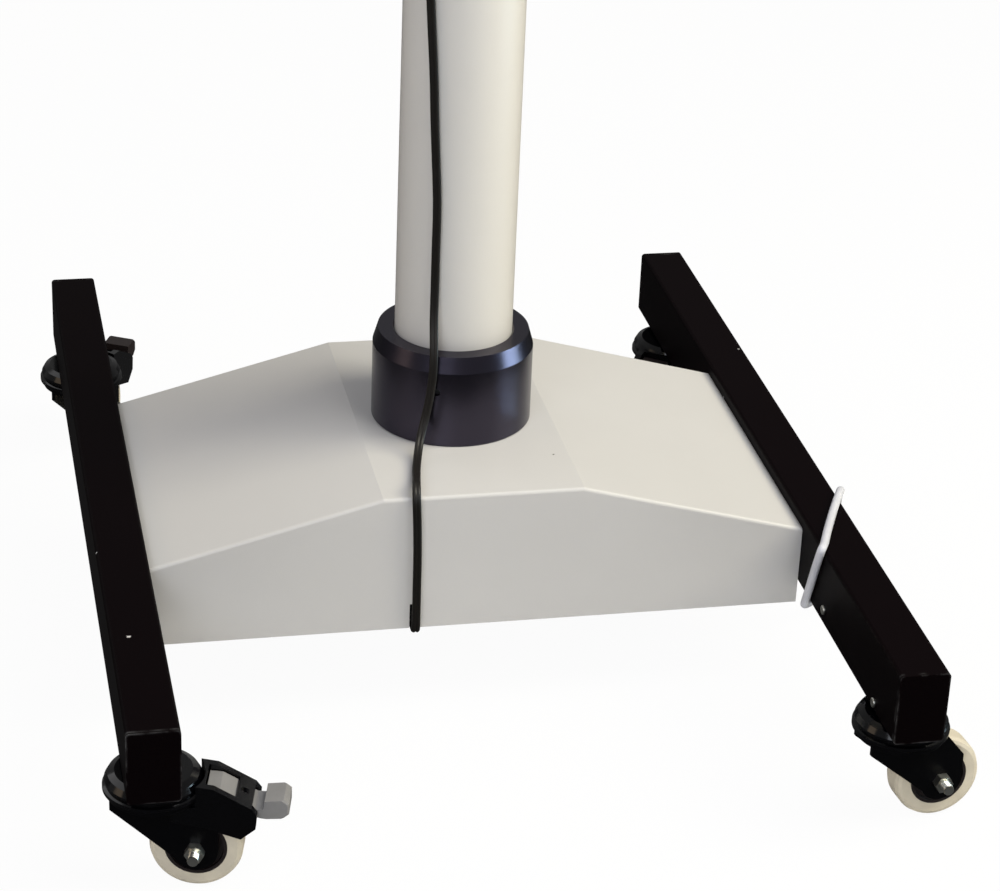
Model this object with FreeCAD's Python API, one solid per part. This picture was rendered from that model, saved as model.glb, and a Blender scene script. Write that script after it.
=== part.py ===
import FreeCAD, Part
import math
import os

# Surgical microscope on a rolling floor stand.
# Millimetres, +Z up. The front, where the surgeon sits, is -Y, and +X is to the right.
# The origin lies on the floor, in the middle of the whole object's outline seen from above. Until
# the pieces are written, places are measured from the column's axis.

os.makedirs("parts", exist_ok=True)

V = FreeCAD.Vector
X_AXIS = V(1, 0, 0)
Y_AXIS = V(0, 1, 0)
Z_AXIS = V(0, 0, 1)

# Clearances
running_gap = 0.05          # radial clearance of a turning fit
slip_gap = 0.1              # radial clearance of a part slipped over another
face_gap = 0.3              # gap between faces that pass each other

# Legs: two rectangular tubes that run from front to back
leg_width = 40.0
leg_height = 60.0
leg_wall = 2.5
leg_corner = 3.0
leg_length = 808.0
leg_spacing = 578.0         # from the middle of one leg to the middle of the other
leg_underside = 96.0        # above the floor
end_cap_thickness = 3.0

# Hidden frame between the legs
beam_size = 40.0
beam_wall = 2.5
beam_offset = 100.0         # from the column's axis to the middle of each beam
foot_plate_width = 150.0
foot_plate_depth = 250.0
foot_plate_thickness = 8.0
foot_spigot_height = 45.0

# Folded sheet cover
cover_depth = 302.0
cover_sheet = 2.0
cover_bend = 3.0
cover_flat_half = 82.0
cover_flat_height = 196.0
cover_side_height = 146.0
skirt_bottom = 77.0
notch_width = 9.0
notch_height = 22.0

# Column and collar
column_diameter = 98.0
column_wall = 3.0
column_top = 1080.0
collar_diameter = 134.0
collar_height = 79.5
collar_chamfer_height = 13.5
collar_chamfer_inset = 4.0

# Castors
front_castor_inset = 49.0   # from a leg's end to the swivel axis
rear_castor_inset = 62.0
castor_trail = 36.0
wheel_diameter = 70.0
wheel_width = 24.0
wheel_rim_round = 4.0
hub_diameter = 47.0
hub_boss_diameter = 16.0
fork_plate = 3.0
fork_gap = 1.6              # from the wheel's side to the fork plate
fork_end_radius = 17.0
hood_diameter = 76.0
hood_offset = 4.0           # from the swivel axis towards the wheel
hood_height = 16.0
hood_wall = 2.0
crown_thickness = 4.0
stem_diameter = 12.0
stem_nut_height = 9.0
stem_head_thickness = 3.0
spacer_thickness = 0.8
axle_diameter = 8.0
axle_nut_across = 13.0
axle_nut_height = 7.0
axle_end_length = 8.0

# Total-lock brakes on three of the castors
brake_reach = 82.0
brake_cheek = 2.5
lever_width = 25.0
lever_tip_reach = 105.0
deck_start = 66.5           # the housing bridges the lever from here to its end
deck_thickness = 2.5
lever_pin_diameter = 5.0

# Arms
bearing_flange = 8.0
bearing_plug_depth = 30.0
swing_spigot_diameter = 44.0
swing_spigot_height = 80.0
swing_hub_diameter = 104.0
swing_hub_wall = 12.0
swing_arm_length = 340.0
swing_arm_width = 60.0
swing_arm_height = 56.0
swing_arm_end_scale = 0.8
elbow_boss_diameter = 68.0
elbow_spigot_diameter = 30.0
elbow_spigot_height = 142.0
elbow_hub_diameter = 64.0
link_length = 560.0
link_spacing = 60.0
upper_link_width = 42.0
upper_link_height = 50.0
lower_link_width = 18.0
lower_link_height = 16.0
ear_thickness = 10.0
ear_gap = 3.0
pivot_diameter = 12.0
elbow_cap = 12.0
pivot_above_hub = 30.0
block_below_pivot = 45.0

# Drop post, yoke and head
end_block_depth = 48.0
end_block_floor = 20.0
elbow_ear_depth = 56.0
ear_above_pivot = 24.0
post_diameter = 26.0
post_cap_diameter = 38.0
post_cap_thickness = 7.0
yoke_hub_diameter = 46.0
yoke_hub_height = 68.0
yoke_bar_height = 24.0
yoke_bar_depth = 28.0
yoke_arm_thickness = 12.0
yoke_half_span = 83.0
tilt_drop = 73.0            # from the yoke bar's underside to the tilt axis
trunnion_diameter = 20.0
head_width = 124.0
head_depth = 96.0
head_height = 113.0
head_above_axis = 33.0
head_round = 10.0
binocular_forward = 34.0    # from the head's front to the middle of the eyepiece face
binocular_drop = 10.0       # from the tilt axis down to that middle
binocular_face_low = 30.0
binocular_face_high = 26.0
binocular_low = 62.0        # below the tilt axis, where the housing leaves the head
binocular_high = 26.0       # above the tilt axis
binocular_side = 24.0       # beyond each eyepiece's axis
drum_shaft_diameter = 12.0
drum_knob_diameter = 40.0
drum_knob_width = 15.0
drum_below_axis = 45.0
objective_diameter = 64.0
objective_length = 40.0
objective_seat_length = 10.0
objective_neck_diameter = 62.0
objective_flange = 8.0
objective_bore = 56.0
lens_thickness = 7.0
focus_ring_diameter = 80.0
eyepiece_spacing = 62.0
eyepiece_angle = 45.0
eyepiece_tube_diameter = 34.0
eyepiece_barrel_diameter = 40.0
eyepiece_tube_length = 34.0
eyepiece_barrel_length = 18.0
eyecup_start = 62.0
eyecup_length = 18.0
eyecup_diameter = 42.0
handle_span = 122.0
handle_rod_diameter = 14.0
handle_grip_diameter = 26.0
handle_grip_below = 60.0    # from the rod to the grip's lower end
handle_grip_above = 40.0
handle_sleeve_length = 40.0
handle_flange_diameter = 32.0
handle_rod_forward = 25.0   # from the head's middle
handle_rod_above = 18.0     # from the head's underside
control_box_width = 100.0
control_box_depth = 176.0
control_box_height = 82.0
control_box_start = 112.0    # from the column's axis
dimmer_diameter = 32.0
lock_knob_diameter = 44.0
lock_stem_diameter = 8.0

# Cords and their glands
cord_diameter = 7.0
lead_diameter = 7.0
column_gland_drop = 80.0    # from the column's top to the upper gland
gland_size = 20.0
gland_length = 22.0
coil_mean_diameter = 77.0
coil_rows = 3
coil_layers = 3
coil_centre = V(160, 62, 0)

# Places worked out from the sizes above
leg_x = leg_spacing / 2
leg_inner = leg_x - leg_width / 2
front_castor_y = front_castor_inset - leg_length / 2
rear_castor_y = leg_length / 2 - rear_castor_inset
beam_top = leg_underside + beam_size
foot_top = beam_top + foot_plate_thickness
wheel_radius = wheel_diameter / 2
hood_radius = hood_diameter / 2
column_radius = column_diameter / 2
collar_radius = collar_diameter / 2
swing_y = swing_arm_length
hub_bottom = column_top + bearing_flange + face_gap
spigot_top = column_top + bearing_flange + swing_spigot_height
hub_top = spigot_top + swing_hub_wall
boss_top = hub_top - swing_hub_wall
elbow_spigot_top = boss_top + elbow_spigot_height
elbow_top = elbow_spigot_top + face_gap + elbow_cap
lower_pivot_z = elbow_top + pivot_above_hub
upper_pivot_z = lower_pivot_z + link_spacing
head_y = swing_y - link_length
block_bottom = lower_pivot_z - block_below_pivot
yoke_top = block_bottom - face_gap
yoke_bottom = yoke_top - yoke_hub_height
tilt_z = yoke_bottom - tilt_drop

# Each castor: name, side, place along the leg, the turn of its trail from +X in degrees, and
# whether it has a brake
castor_places = [("front_left", -1, front_castor_y, -13, True), ("front_right", 1, front_castor_y, 6, False),
                 ("rear_left", -1, rear_castor_y, 62, True), ("rear_right", 1, rear_castor_y, 235, True)]

# The free cords don't count in the outline that the origin is centred on
free_cords = ["column_cord", "mains_lead", "mains_coil", "mains_plug"]
finished = {}


def box(x0, x1, y0, y1, z0, z1):
    return Part.makeBox(x1 - x0, y1 - y0, z1 - z0, V(x0, y0, z0))


def cylinder(radius, start, direction, length):
    return Part.makeCylinder(radius, length, start, direction)


def turned(points):
    """A solid of revolution about Z from (radius, height) points."""
    wire = Part.makePolygon([V(r, 0, z) for r, z in points + points[:1]])
    return Part.Face(wire).revolve(V(0, 0, 0), Z_AXIS, 360)


def prism(points, direction):
    """A closed outline of points, pushed along a direction."""
    wire = Part.makePolygon(points + points[:1])
    return Part.Face(wire).extrude(direction)


def rounded_rectangle(width, height, radius):
    """A face in the XZ plane, centred on the origin, with round corners."""
    a, b = width / 2, height / 2
    k = radius * (1 - math.sqrt(0.5))
    edges = []
    corners = [(1, -1), (1, 1), (-1, 1), (-1, -1)]
    for i, (sx, sz) in enumerate(corners):
        nx, nz = corners[(i + 1) % 4]
        if i % 2 == 0:
            start = V(sx * a, 0, sz * (b - radius))
            end = V(nx * a, 0, nz * (b - radius))
            arc_end = V(nx * (a - radius), 0, nz * b)
        else:
            start = V(sx * (a - radius), 0, sz * b)
            end = V(nx * (a - radius), 0, nz * b)
            arc_end = V(nx * a, 0, nz * (b - radius))
        middle = V(nx * (a - k), 0, nz * (b - k))
        edges.append(Part.LineSegment(start, end).toShape())
        edges.append(Part.Arc(end, middle, arc_end).toShape())
    return Part.Face(Part.Wire(edges))


def bar_along_y(width, height, radius, y0, y1, x, z):
    face = rounded_rectangle(width, height, radius)
    face.translate(V(x, y0, z))
    return face.extrude(V(0, y1 - y0, 0))


def hollow_bar_along_y(width, height, radius, wall, y0, y1, x, z):
    outer = bar_along_y(width, height, radius, y0, y1, x, z)
    inner_radius = max(radius - wall, 0.5)
    inner = bar_along_y(width - 2 * wall, height - 2 * wall, inner_radius, y0, y1, x, z)
    return outer.cut(inner)


def fuse(first, *others):
    return first.multiFuse(list(others)).removeSplitter()


def hexagon(across, height, centre, direction):
    """A hexagonal prism for nuts and bolt heads."""
    radius = across / math.sqrt(3)
    points = []
    for i in range(6):
        angle = math.radians(60 * i)
        points.append(V(radius * math.cos(angle), radius * math.sin(angle), 0))
    shape = prism(points, V(0, 0, height))
    turn = FreeCAD.Rotation(Z_AXIS, direction)
    shape.Placement = FreeCAD.Placement(centre, turn)
    return shape


def save(name, *shapes):
    """Keeps one piece, or a group of like pieces, until all of them are written."""
    result = shapes[0] if len(shapes) == 1 else Part.makeCompound(list(shapes))
    assert result.isValid(), name
    finished[name] = result


def write_pieces():
    """Moves every piece so that the outline is centred on the origin, and writes them all."""
    boxes = [shape.optimalBoundingBox(False, False)
             for name, shape in finished.items() if name not in free_cords]
    middle_x = (min(b.XMin for b in boxes) + max(b.XMax for b in boxes)) / 2
    middle_y = (min(b.YMin for b in boxes) + max(b.YMax for b in boxes)) / 2
    for name, shape in finished.items():
        moved = shape.copy()
        moved.translate(V(-middle_x, -middle_y, 0))
        moved.exportStep("parts/" + name + ".step")
    return middle_x, middle_y, max(b.ZMax for b in boxes)


def legs():
    half = leg_length / 2 - end_cap_thickness
    middle_z = leg_underside + leg_height / 2
    caps = []
    for side, name in ((-1, "leg_left"), (1, "leg_right")):
        x = side * leg_x
        tube = hollow_bar_along_y(leg_width, leg_height, leg_corner, leg_wall, -half, half, x, middle_z)
        for castor_y in (front_castor_y, rear_castor_y):
            centre = V(x, castor_y, leg_underside - 1)
            tube = tube.cut(cylinder(stem_diameter / 2 + slip_gap, centre, Z_AXIS, leg_wall + 2))
        for cap_y in (-half - end_cap_thickness, half):
            caps.append(bar_along_y(leg_width, leg_height, leg_corner,
                                    cap_y, cap_y + end_cap_thickness, x, middle_z))
        save(name, tube)
    save("leg_end_caps", *caps)


def base_frame():
    beams = []
    for side in (-1, 1):
        y = side * beam_offset
        z = leg_underside + beam_size / 2
        beam = hollow_bar_along_y(beam_size, beam_size, leg_corner, beam_wall, -leg_inner, leg_inner, 0, 0)
        beam.rotate(V(0, 0, 0), Z_AXIS, 90)
        beam.translate(V(0, y, z))
        beams.append(beam)
    save("cross_beams", *beams)

    plate = box(-foot_plate_width / 2, foot_plate_width / 2, -foot_plate_depth / 2, foot_plate_depth / 2,
                beam_top, foot_top)
    corners = [e for e in plate.Edges if abs(e.tangentAt(0).z) > 0.9]
    plate = plate.makeFillet(12, corners)
    spigot_radius = column_radius - column_wall - slip_gap
    spigot = cylinder(spigot_radius, V(0, 0, foot_top), Z_AXIS, foot_spigot_height)
    plate = fuse(plate, spigot)
    plate = plate.cut(cylinder(spigot_radius - 6, V(0, 0, foot_top), Z_AXIS, foot_spigot_height))
    save("foot_plate", plate)


def cover_outline(drop, side, bottom):
    """The cover's section across the stand, lowered by the sheet's thickness for its inside."""
    return [V(-side, 0, bottom), V(-side, 0, cover_side_height - drop),
            V(-cover_flat_half, 0, cover_flat_height - drop),
            V(cover_flat_half, 0, cover_flat_height - drop),
            V(side, 0, cover_side_height - drop), V(side, 0, bottom)]


def base_cover():
    outer = prism(cover_outline(0, leg_inner, skirt_bottom), V(0, cover_depth, 0))
    outer.translate(V(0, -cover_depth / 2, 0))
    rims = []
    for edge in outer.Edges:
        box_of = edge.BoundBox
        on_face = abs(abs(box_of.YMin) - cover_depth / 2) < 0.01 and box_of.YLength < 0.01
        if on_face and box_of.ZMin > cover_side_height - 0.01 and box_of.XLength > 1:
            rims.append(edge)
    outer = outer.makeFillet(cover_bend, rims)
    inner_depth = cover_depth - 2 * cover_sheet
    inner = prism(cover_outline(cover_sheet, leg_inner + 1, skirt_bottom - 1), V(0, inner_depth, 0))
    inner.translate(V(0, -inner_depth / 2, 0))
    cover = outer.cut(inner)
    hole = cylinder(column_radius + 1, V(0, 0, cover_flat_height - 10), Z_AXIS, 20)
    cover = cover.cut(hole)
    notch_x = column_cord_points[0].x
    notch = box(notch_x - notch_width / 2, notch_x + notch_width / 2,
                -cover_depth / 2 - 1, -cover_depth / 2 + cover_sheet + 1,
                skirt_bottom - 1, skirt_bottom + notch_height)
    save("base_cover", cover.cut(notch))


def column_and_collar():
    tube = cylinder(column_radius, V(0, 0, foot_top), Z_AXIS, column_top - foot_top)
    tube = tube.cut(cylinder(column_radius - column_wall, V(0, 0, foot_top), Z_AXIS, column_top - foot_top))
    save("column_tube", tube)

    bottom = cover_flat_height
    top = bottom + collar_height
    bore = column_radius + slip_gap
    collar = turned([(bore, bottom), (collar_radius - 1, bottom), (collar_radius, bottom + 1),
                     (collar_radius, top - collar_chamfer_height),
                     (collar_radius - collar_chamfer_inset, top), (bore + 1.5, top), (bore, top - 1.5)])
    screw_hole = cylinder(collar_screw_radius + slip_gap, collar_screw_centre, collar_screw_way,
                          collar_radius)
    save("collar", collar.cut(screw_hole))

    flange = column_top + bearing_flange
    plug = column_radius - column_wall - slip_gap
    spigot = swing_spigot_diameter / 2
    plug_low = column_top - bearing_plug_depth
    bearing = turned([(0, plug_low), (plug - 1, plug_low), (plug, plug_low + 1), (plug, column_top),
                      (column_radius, column_top), (column_radius, flange - 1), (column_radius - 1, flange),
                      (spigot, flange), (spigot, spigot_top - 1), (spigot - 1, spigot_top), (0, spigot_top)])
    save("column_bearing", bearing)


# The collar's grub screw stands at the front, a little to the left
collar_screw_radius = 3.0
collar_screw_angle = math.radians(-111.6)
collar_screw_height = 245.0
collar_screw_way = V(math.cos(collar_screw_angle), math.sin(collar_screw_angle), 0)
collar_screw_centre = collar_screw_way * (column_radius + slip_gap) + V(0, 0, collar_screw_height)

# Screws in the right and left legs' inner faces: distance from the column's axis, and height
leg_screw_places = [(-354.0, 103.0), (-221.0, 109.0)]


def screws():
    pieces = [cylinder(collar_screw_radius, collar_screw_centre, collar_screw_way,
                       collar_radius - column_radius - 4)]
    for side in (-1, 1):
        for y, z in leg_screw_places:
            head = cylinder(4.0, V(side * leg_inner, y, z), V(-side, 0, 0), 1.6)
            rim = [e for e in head.Edges if abs(e.BoundBox.XMin - side * (leg_inner - 1.6)) < 0.01
                   and e.BoundBox.XLength < 0.01]
            pieces.append(head.makeFillet(0.9, rim))
    for sx in (-1, 1):
        for sy in (-1, 1):
            x = sx * (foot_plate_width / 2 - 18)
            pieces.append(hexagon(16.0, 7.0, V(x, sy * beam_offset, foot_top), Z_AXIS))
    save("base_screws", *pieces)


def castor_stems():
    """Each stem is bolted through the leg's underside, and the fork turns on it."""
    pieces = []
    radius = stem_diameter / 2
    crown_bottom = -spacer_thickness - hood_height - crown_thickness
    for sx in (-1, 1):
        for castor_y in (front_castor_y, rear_castor_y):
            stem = turned([(0, crown_bottom - face_gap - stem_head_thickness),
                           (radius + 4, crown_bottom - face_gap - stem_head_thickness),
                           (radius + 4, crown_bottom - face_gap), (radius, crown_bottom - face_gap),
                           (radius, -spacer_thickness), (radius + 8, -spacer_thickness), (radius + 8, 0),
                           (radius, 0), (radius, leg_wall), (0, leg_wall)])
            nut = hexagon(19.0, stem_nut_height, V(0, 0, leg_wall), Z_AXIS)
            stem = fuse(stem, nut)
            stem.translate(V(sx * leg_x, castor_y, leg_underside))
            pieces.append(stem)
    save("castor_stems", *pieces)


def castor_fork():
    """Crown and two tapering plates with round lower ends, pressed from one sheet."""
    axle = V(castor_trail, 0, wheel_radius - leg_underside)
    top = -spacer_thickness - hood_height
    crown_radius = hood_radius - hood_wall - 1
    crown = cylinder(crown_radius, V(hood_offset, 0, top - crown_thickness), Z_AXIS, crown_thickness)
    inner = wheel_width / 2 + fork_gap
    r = fork_end_radius
    plates = []
    for side in (-1, 1):
        y = side * inner if side > 0 else -inner - fork_plate
        half = math.sqrt(crown_radius ** 2 - (inner + fork_plate) ** 2)
        lower = math.radians(205)
        left = V(axle.x + r * math.cos(lower), y, axle.z + r * math.sin(lower))
        right = V(axle.x + r, y, axle.z)
        bottom = V(axle.x, y, axle.z - r)
        a = V(hood_offset - half, y, top)
        b = V(hood_offset + half, y, top)
        edges = [Part.LineSegment(a, b).toShape(),
                 Part.LineSegment(b, V(axle.x + r, y, axle.z + 22)).toShape(),
                 Part.LineSegment(V(axle.x + r, y, axle.z + 22), right).toShape(),
                 Part.Arc(right, bottom, left).toShape(),
                 Part.LineSegment(left, V(a.x, y, top - 12)).toShape(),
                 Part.LineSegment(V(a.x, y, top - 12), a).toShape()]
        plate = Part.Face(Part.Wire(edges)).extrude(V(0, fork_plate, 0))
        plates.append(plate)
    fork = fuse(crown, *plates)
    stem_start = V(0, 0, top - crown_thickness - 1)
    fork = fork.cut(cylinder(stem_diameter / 2 + running_gap, stem_start, Z_AXIS, 10))
    fork = fork.cut(cylinder(axle_diameter / 2 + slip_gap, V(axle.x, -50, axle.z), Y_AXIS, 100))
    return fork


def castor_hood():
    """Round cap over the swivel race, with a bead round its lower edge."""
    top = -spacer_thickness
    bottom = top - hood_height
    r = hood_radius
    w = hood_wall
    hood = turned([(0, top - w - 0.3), (0, top - 0.3), (r - 9, top - 0.3), (r - 4, top - 2.5),
                   (r - 1.5, top - 7), (r - 1.5, bottom + 7), (r - 2.3, bottom + 6), (r - 2.3, bottom + 5),
                   (r, bottom + 4), (r, bottom + 1), (r - 1, bottom), (r - 2 - w, bottom),
                   (r - 2 - w, top - 7), (r - 5 - w, top - 3 - w), (r - 10, top - w - 0.3)])
    hood.translate(V(hood_offset, 0, 0))
    return hood.cut(cylinder(stem_diameter / 2 + 8.5, V(0, 0, top - 8), Z_AXIS, 10))


def castor_wheel():
    """Solid nylon tread ring with rounded shoulders, about the Y axis."""
    half = wheel_width / 2
    r = wheel_radius
    k = wheel_rim_round
    inner = hub_diameter / 2
    ring = turned([(inner, -half), (r - k, -half), (r - k * 0.35, -half + k * 0.3), (r, -half + k * 1.2),
                   (r, half - k * 1.2), (r - k * 0.35, half - k * 0.3), (r - k, half), (inner, half)])
    ring.rotate(V(0, 0, 0), X_AXIS, 90)
    ring.translate(V(castor_trail, 0, wheel_radius - leg_underside))
    return ring


def castor_hub():
    """Black hub pressed into the wheel, dished on both sides round a boss."""
    half = wheel_width / 2
    outer = hub_diameter / 2
    boss = hub_boss_diameter / 2
    bore = axle_diameter / 2 + running_gap
    boss_end = half + fork_gap - face_gap
    hub = turned([(bore, -boss_end), (boss, -boss_end), (boss, -half + 4), (outer - 3, -half + 3),
                  (outer - 2.5, -half), (outer, -half), (outer, half), (outer - 2.5, half),
                  (outer - 3, half - 3), (boss, half - 4), (boss, boss_end), (bore, boss_end)])
    hub.rotate(V(0, 0, 0), X_AXIS, 90)
    hub.translate(V(castor_trail, 0, wheel_radius - leg_underside))
    return hub


def castor_axle():
    """Zinc bolt through the fork, with its hexagon head behind and its nut in front."""
    z = wheel_radius - leg_underside
    reach = wheel_width / 2 + fork_gap + fork_plate
    front_nut = hexagon(axle_nut_across, axle_nut_height, V(castor_trail, -reach, z), V(0, -1, 0))
    back_head = hexagon(axle_nut_across, axle_nut_height - 1.5, V(castor_trail, reach, z), Y_AXIS)
    shank = cylinder(axle_diameter / 2, V(castor_trail, -reach - axle_nut_height - axle_end_length, z),
                     Y_AXIS, 2 * reach + axle_nut_height + axle_end_length)
    return fuse(shank, front_nut, back_head)


brake_pin = V(51, 0, -18.0)
housing_top_start = V(50, 0, -5)
housing_top_end = V(brake_reach - 4, 0, -20.5)


def brake_housing():
    """Black channel over the wheel, clipped outside the fork plates. Its deck bridges the lever
    between the plate and the toe tip."""
    inner = wheel_width / 2 + fork_gap + fork_plate + face_gap
    outer = inner + brake_cheek
    low = -spacer_thickness - hood_height
    reach = brake_reach
    profile = [V(18, 0, low - 1), V(34, 0, -3), housing_top_start, housing_top_end, V(reach, 0, -26),
               V(reach - 1, 0, -38), V(reach - 12, 0, -47.5), V(46, 0, -40), V(18, 0, low - 18)]
    body = prism([V(p.x, -outer, p.z) for p in profile], V(0, 2 * outer, 0))
    centre = V(castor_trail, -outer - 1, wheel_radius - leg_underside)
    wheel_space = cylinder(wheel_radius + 2.5, centre, Y_AXIS, 2 * outer + 2)
    keep = box(-60, 120, -inner, inner, -120, 20)
    body = body.cut(wheel_space.common(keep))
    half = lever_width / 2
    lever_space = box(brake_pin.x - 7.5, reach + 1, -half - 1, half + 1, -80, 10)
    fork_space = box(0, castor_trail + fork_end_radius + 0.5, -inner, inner, -120, low + 0.5)
    swivel_space = cylinder(hood_radius + face_gap, V(hood_offset, 0, low - crown_thickness - 1), Z_AXIS,
                            hood_height + crown_thickness + 6)
    body = body.cut(lever_space).cut(fork_space).cut(swivel_space)
    slope = housing_top_end - housing_top_start
    start = housing_top_start + slope * ((deck_start - housing_top_start.x) / slope.x)
    down = V(0, 0, -deck_thickness)
    aside = V(0, -half - 2, 0)
    corners = [start, housing_top_end, housing_top_end + down, start + down]
    deck = prism([corner + aside for corner in corners], V(0, lever_width + 4, 0))
    recess = (start + housing_top_end) * 0.5
    deck = deck.cut(cylinder(3.6, recess - V(0, 0, 1.2), Z_AXIS, 6))
    deck = deck.cut(cylinder(1.5, recess - V(0, 0, 6), Z_AXIS, 12))
    pin = cylinder(lever_pin_diameter / 2, V(brake_pin.x, -inner, brake_pin.z), Y_AXIS, 2 * inner)
    return fuse(body, deck, pin)


def brake_lever():
    """Light grey pedal: a plate that shows in the housing's top, a neck under the deck, and a broad
    toe tip."""
    half = lever_width / 2
    tip = lever_tip_reach
    reach = brake_reach
    pin_x = brake_pin.x
    profile = [V(pin_x - 6.5, 0, -9), V(pin_x + 3, 0, -9.5), V(deck_start - 1.5, 0, -15.5),
               V(deck_start - 0.5, 0, -17.6), V(reach - 2, 0, -24.8), V(reach + 4, 0, -25),
               V(tip - 18, 0, -18), V(tip - 4, 0, -16.3), V(tip, 0, -19.5), V(tip, 0, -28.5),
               V(tip - 4, 0, -32), V(tip - 17, 0, -33), V(reach + 2, 0, -32.5), V(reach - 2, 0, -31.5),
               V(pin_x + 7, 0, -24.8), V(pin_x - 6.5, 0, -22)]
    lever = prism([V(p.x, -half, p.z) for p in profile], V(0, lever_width, 0))
    corners = [e for e in lever.Edges if e.BoundBox.YLength < 0.01 and e.BoundBox.XMin > tip - 5]
    lever = lever.makeChamfer(1.2, corners)
    bore = cylinder(lever_pin_diameter / 2 + running_gap, V(brake_pin.x, -half - 1, brake_pin.z),
                    Y_AXIS, lever_width + 2)
    return lever.cut(bore)


def castors():
    pieces = {"castor_fork": castor_fork(), "castor_hood": castor_hood(), "castor_wheel": castor_wheel(),
              "castor_hub": castor_hub(), "castor_axle": castor_axle()}
    brakes = {"brake_housing": brake_housing(), "brake_lever": brake_lever()}
    for place, side, y, turn, has_brake in castor_places:
        chosen = dict(pieces)
        if has_brake:
            chosen.update(brakes)
        for name, shape in chosen.items():
            copy = shape.copy()
            copy.rotate(V(0, 0, 0), Z_AXIS, turn)
            copy.translate(V(side * leg_x, y, leg_underside))
            save(name + "_" + place, copy)


def swing_arm():
    hub_radius = swing_hub_diameter / 2
    bore = swing_spigot_diameter / 2 + running_gap
    hub = turned([(bore, hub_bottom), (hub_radius - 1, hub_bottom), (hub_radius, hub_bottom + 1),
                  (hub_radius, hub_top - 10), (hub_radius - 3, hub_top - 3), (hub_radius - 10, hub_top),
                  (0, hub_top), (0, spigot_top + face_gap), (bore, spigot_top + face_gap)])
    end_width = swing_arm_width * swing_arm_end_scale
    end_height = swing_arm_height * swing_arm_end_scale
    centre_z = (hub_bottom + boss_top) / 2
    near = rounded_rectangle(swing_arm_width, swing_arm_height, 8)
    near.translate(V(0, swing_spigot_diameter / 2 + 12, centre_z))
    far = rounded_rectangle(end_width, end_height, 8)
    far.translate(V(0, swing_y - 10, centre_z))
    beam = Part.makeLoft([near.OuterWire, far.OuterWire], True)
    boss = cylinder(elbow_boss_diameter / 2, V(0, swing_y, centre_z - end_height / 2 - 4), Z_AXIS,
                    boss_top - centre_z + end_height / 2 + 4)
    spigot = cylinder(elbow_spigot_diameter / 2, V(0, swing_y, boss_top), Z_AXIS, elbow_spigot_height)
    arm = fuse(hub, beam, boss, spigot)
    lock_at = V(-hub_radius, 0, centre_z)
    arm = arm.cut(cylinder(lock_stem_diameter / 2 + running_gap, lock_at + V(-1, 0, 0), X_AXIS, 12))
    save("swing_arm", arm)
    save("swing_lock_knob", lock_knob(lock_at, V(-1, 0, 0)))
    return centre_z


def control_box(centre_z):
    """Lamp supply under the swing arm, with its brightness knob on the left side."""
    y0 = control_box_start
    y1 = y0 + control_box_depth
    top = centre_z - swing_arm_height * swing_arm_end_scale / 2 + 2
    bottom = top - control_box_height
    half = control_box_width / 2
    case = box(-half, half, y0, y1, bottom, top)
    upright = [e for e in case.Edges if abs(e.tangentAt(0).z) > 0.9]
    case = case.makeFillet(8, upright)
    taper = (swing_arm_width - swing_arm_width * swing_arm_end_scale) / 2
    near = rounded_rectangle(swing_arm_width, swing_arm_height, 8)
    near.translate(V(0, swing_spigot_diameter / 2 + 12, centre_z))
    far = rounded_rectangle(swing_arm_width - 2 * taper, swing_arm_height * swing_arm_end_scale, 8)
    far.translate(V(0, swing_y - 10, centre_z))
    case = case.cut(Part.makeLoft([near.OuterWire, far.OuterWire], True))
    dimmer_at = V(-half, y0 + 40, (top + bottom) / 2)
    stem = 6.0
    case = case.cut(cylinder(stem / 2 + running_gap, dimmer_at + V(-1, 0, 0), X_AXIS, 12))
    save("control_box", case)

    rim = dimmer_diameter / 2
    knob = turned([(0, 0.5), (rim, 0.5), (rim, 4), (rim - 2, 5), (rim - 3, 16), (rim - 5, 18), (0, 18)])
    for i in range(12):
        angle = math.radians(30 * i)
        groove = cylinder(1.6, V(13.6 * math.cos(angle), 13.6 * math.sin(angle), 5), Z_AXIS, 14)
        knob = knob.cut(groove)
    shaft = cylinder(stem / 2, V(0, 0, -10), Z_AXIS, 11)
    knob = fuse(knob, shaft)
    knob.Placement = FreeCAD.Placement(dimmer_at, FreeCAD.Rotation(Z_AXIS, V(-1, 0, 0)))
    save("dimmer_knob", knob)
    return dimmer_at


def lock_knob(at, way):
    """Five-lobed clamping knob on a threaded stem."""
    radius = lock_knob_diameter / 2
    knob = cylinder(radius, V(0, 0, 12), Z_AXIS, 16)
    for i in range(5):
        angle = math.radians(72 * i)
        centre = V((radius + 4) * math.cos(angle), (radius + 4) * math.sin(angle), 11)
        knob = knob.cut(cylinder(9.0, centre, Z_AXIS, 18))
    neck = turned([(0, 0.5), (9, 0.5), (11, 12.5), (0, 12.5)])
    stem = cylinder(lock_stem_diameter / 2, V(0, 0, -9), Z_AXIS, 10)
    knob = fuse(knob, neck, stem)
    knob.Placement = FreeCAD.Placement(at, FreeCAD.Rotation(Z_AXIS, way))
    return knob


def ears(y, depth, z0):
    """Two upright plates that the links turn between, with both pivot pins across them."""
    inner = upper_link_width / 2 + ear_gap
    plates = []
    for side in (-1, 1):
        x0 = inner if side > 0 else -inner - ear_thickness
        plates.append(box(x0, x0 + ear_thickness, y - depth / 2, y + depth / 2,
                          z0, upper_pivot_z + ear_above_pivot))
    outer = inner + ear_thickness
    for z in (lower_pivot_z, upper_pivot_z):
        plates.append(cylinder(pivot_diameter / 2, V(-outer - 3, y, z), X_AXIS, 2 * outer + 6))
    return plates


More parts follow.
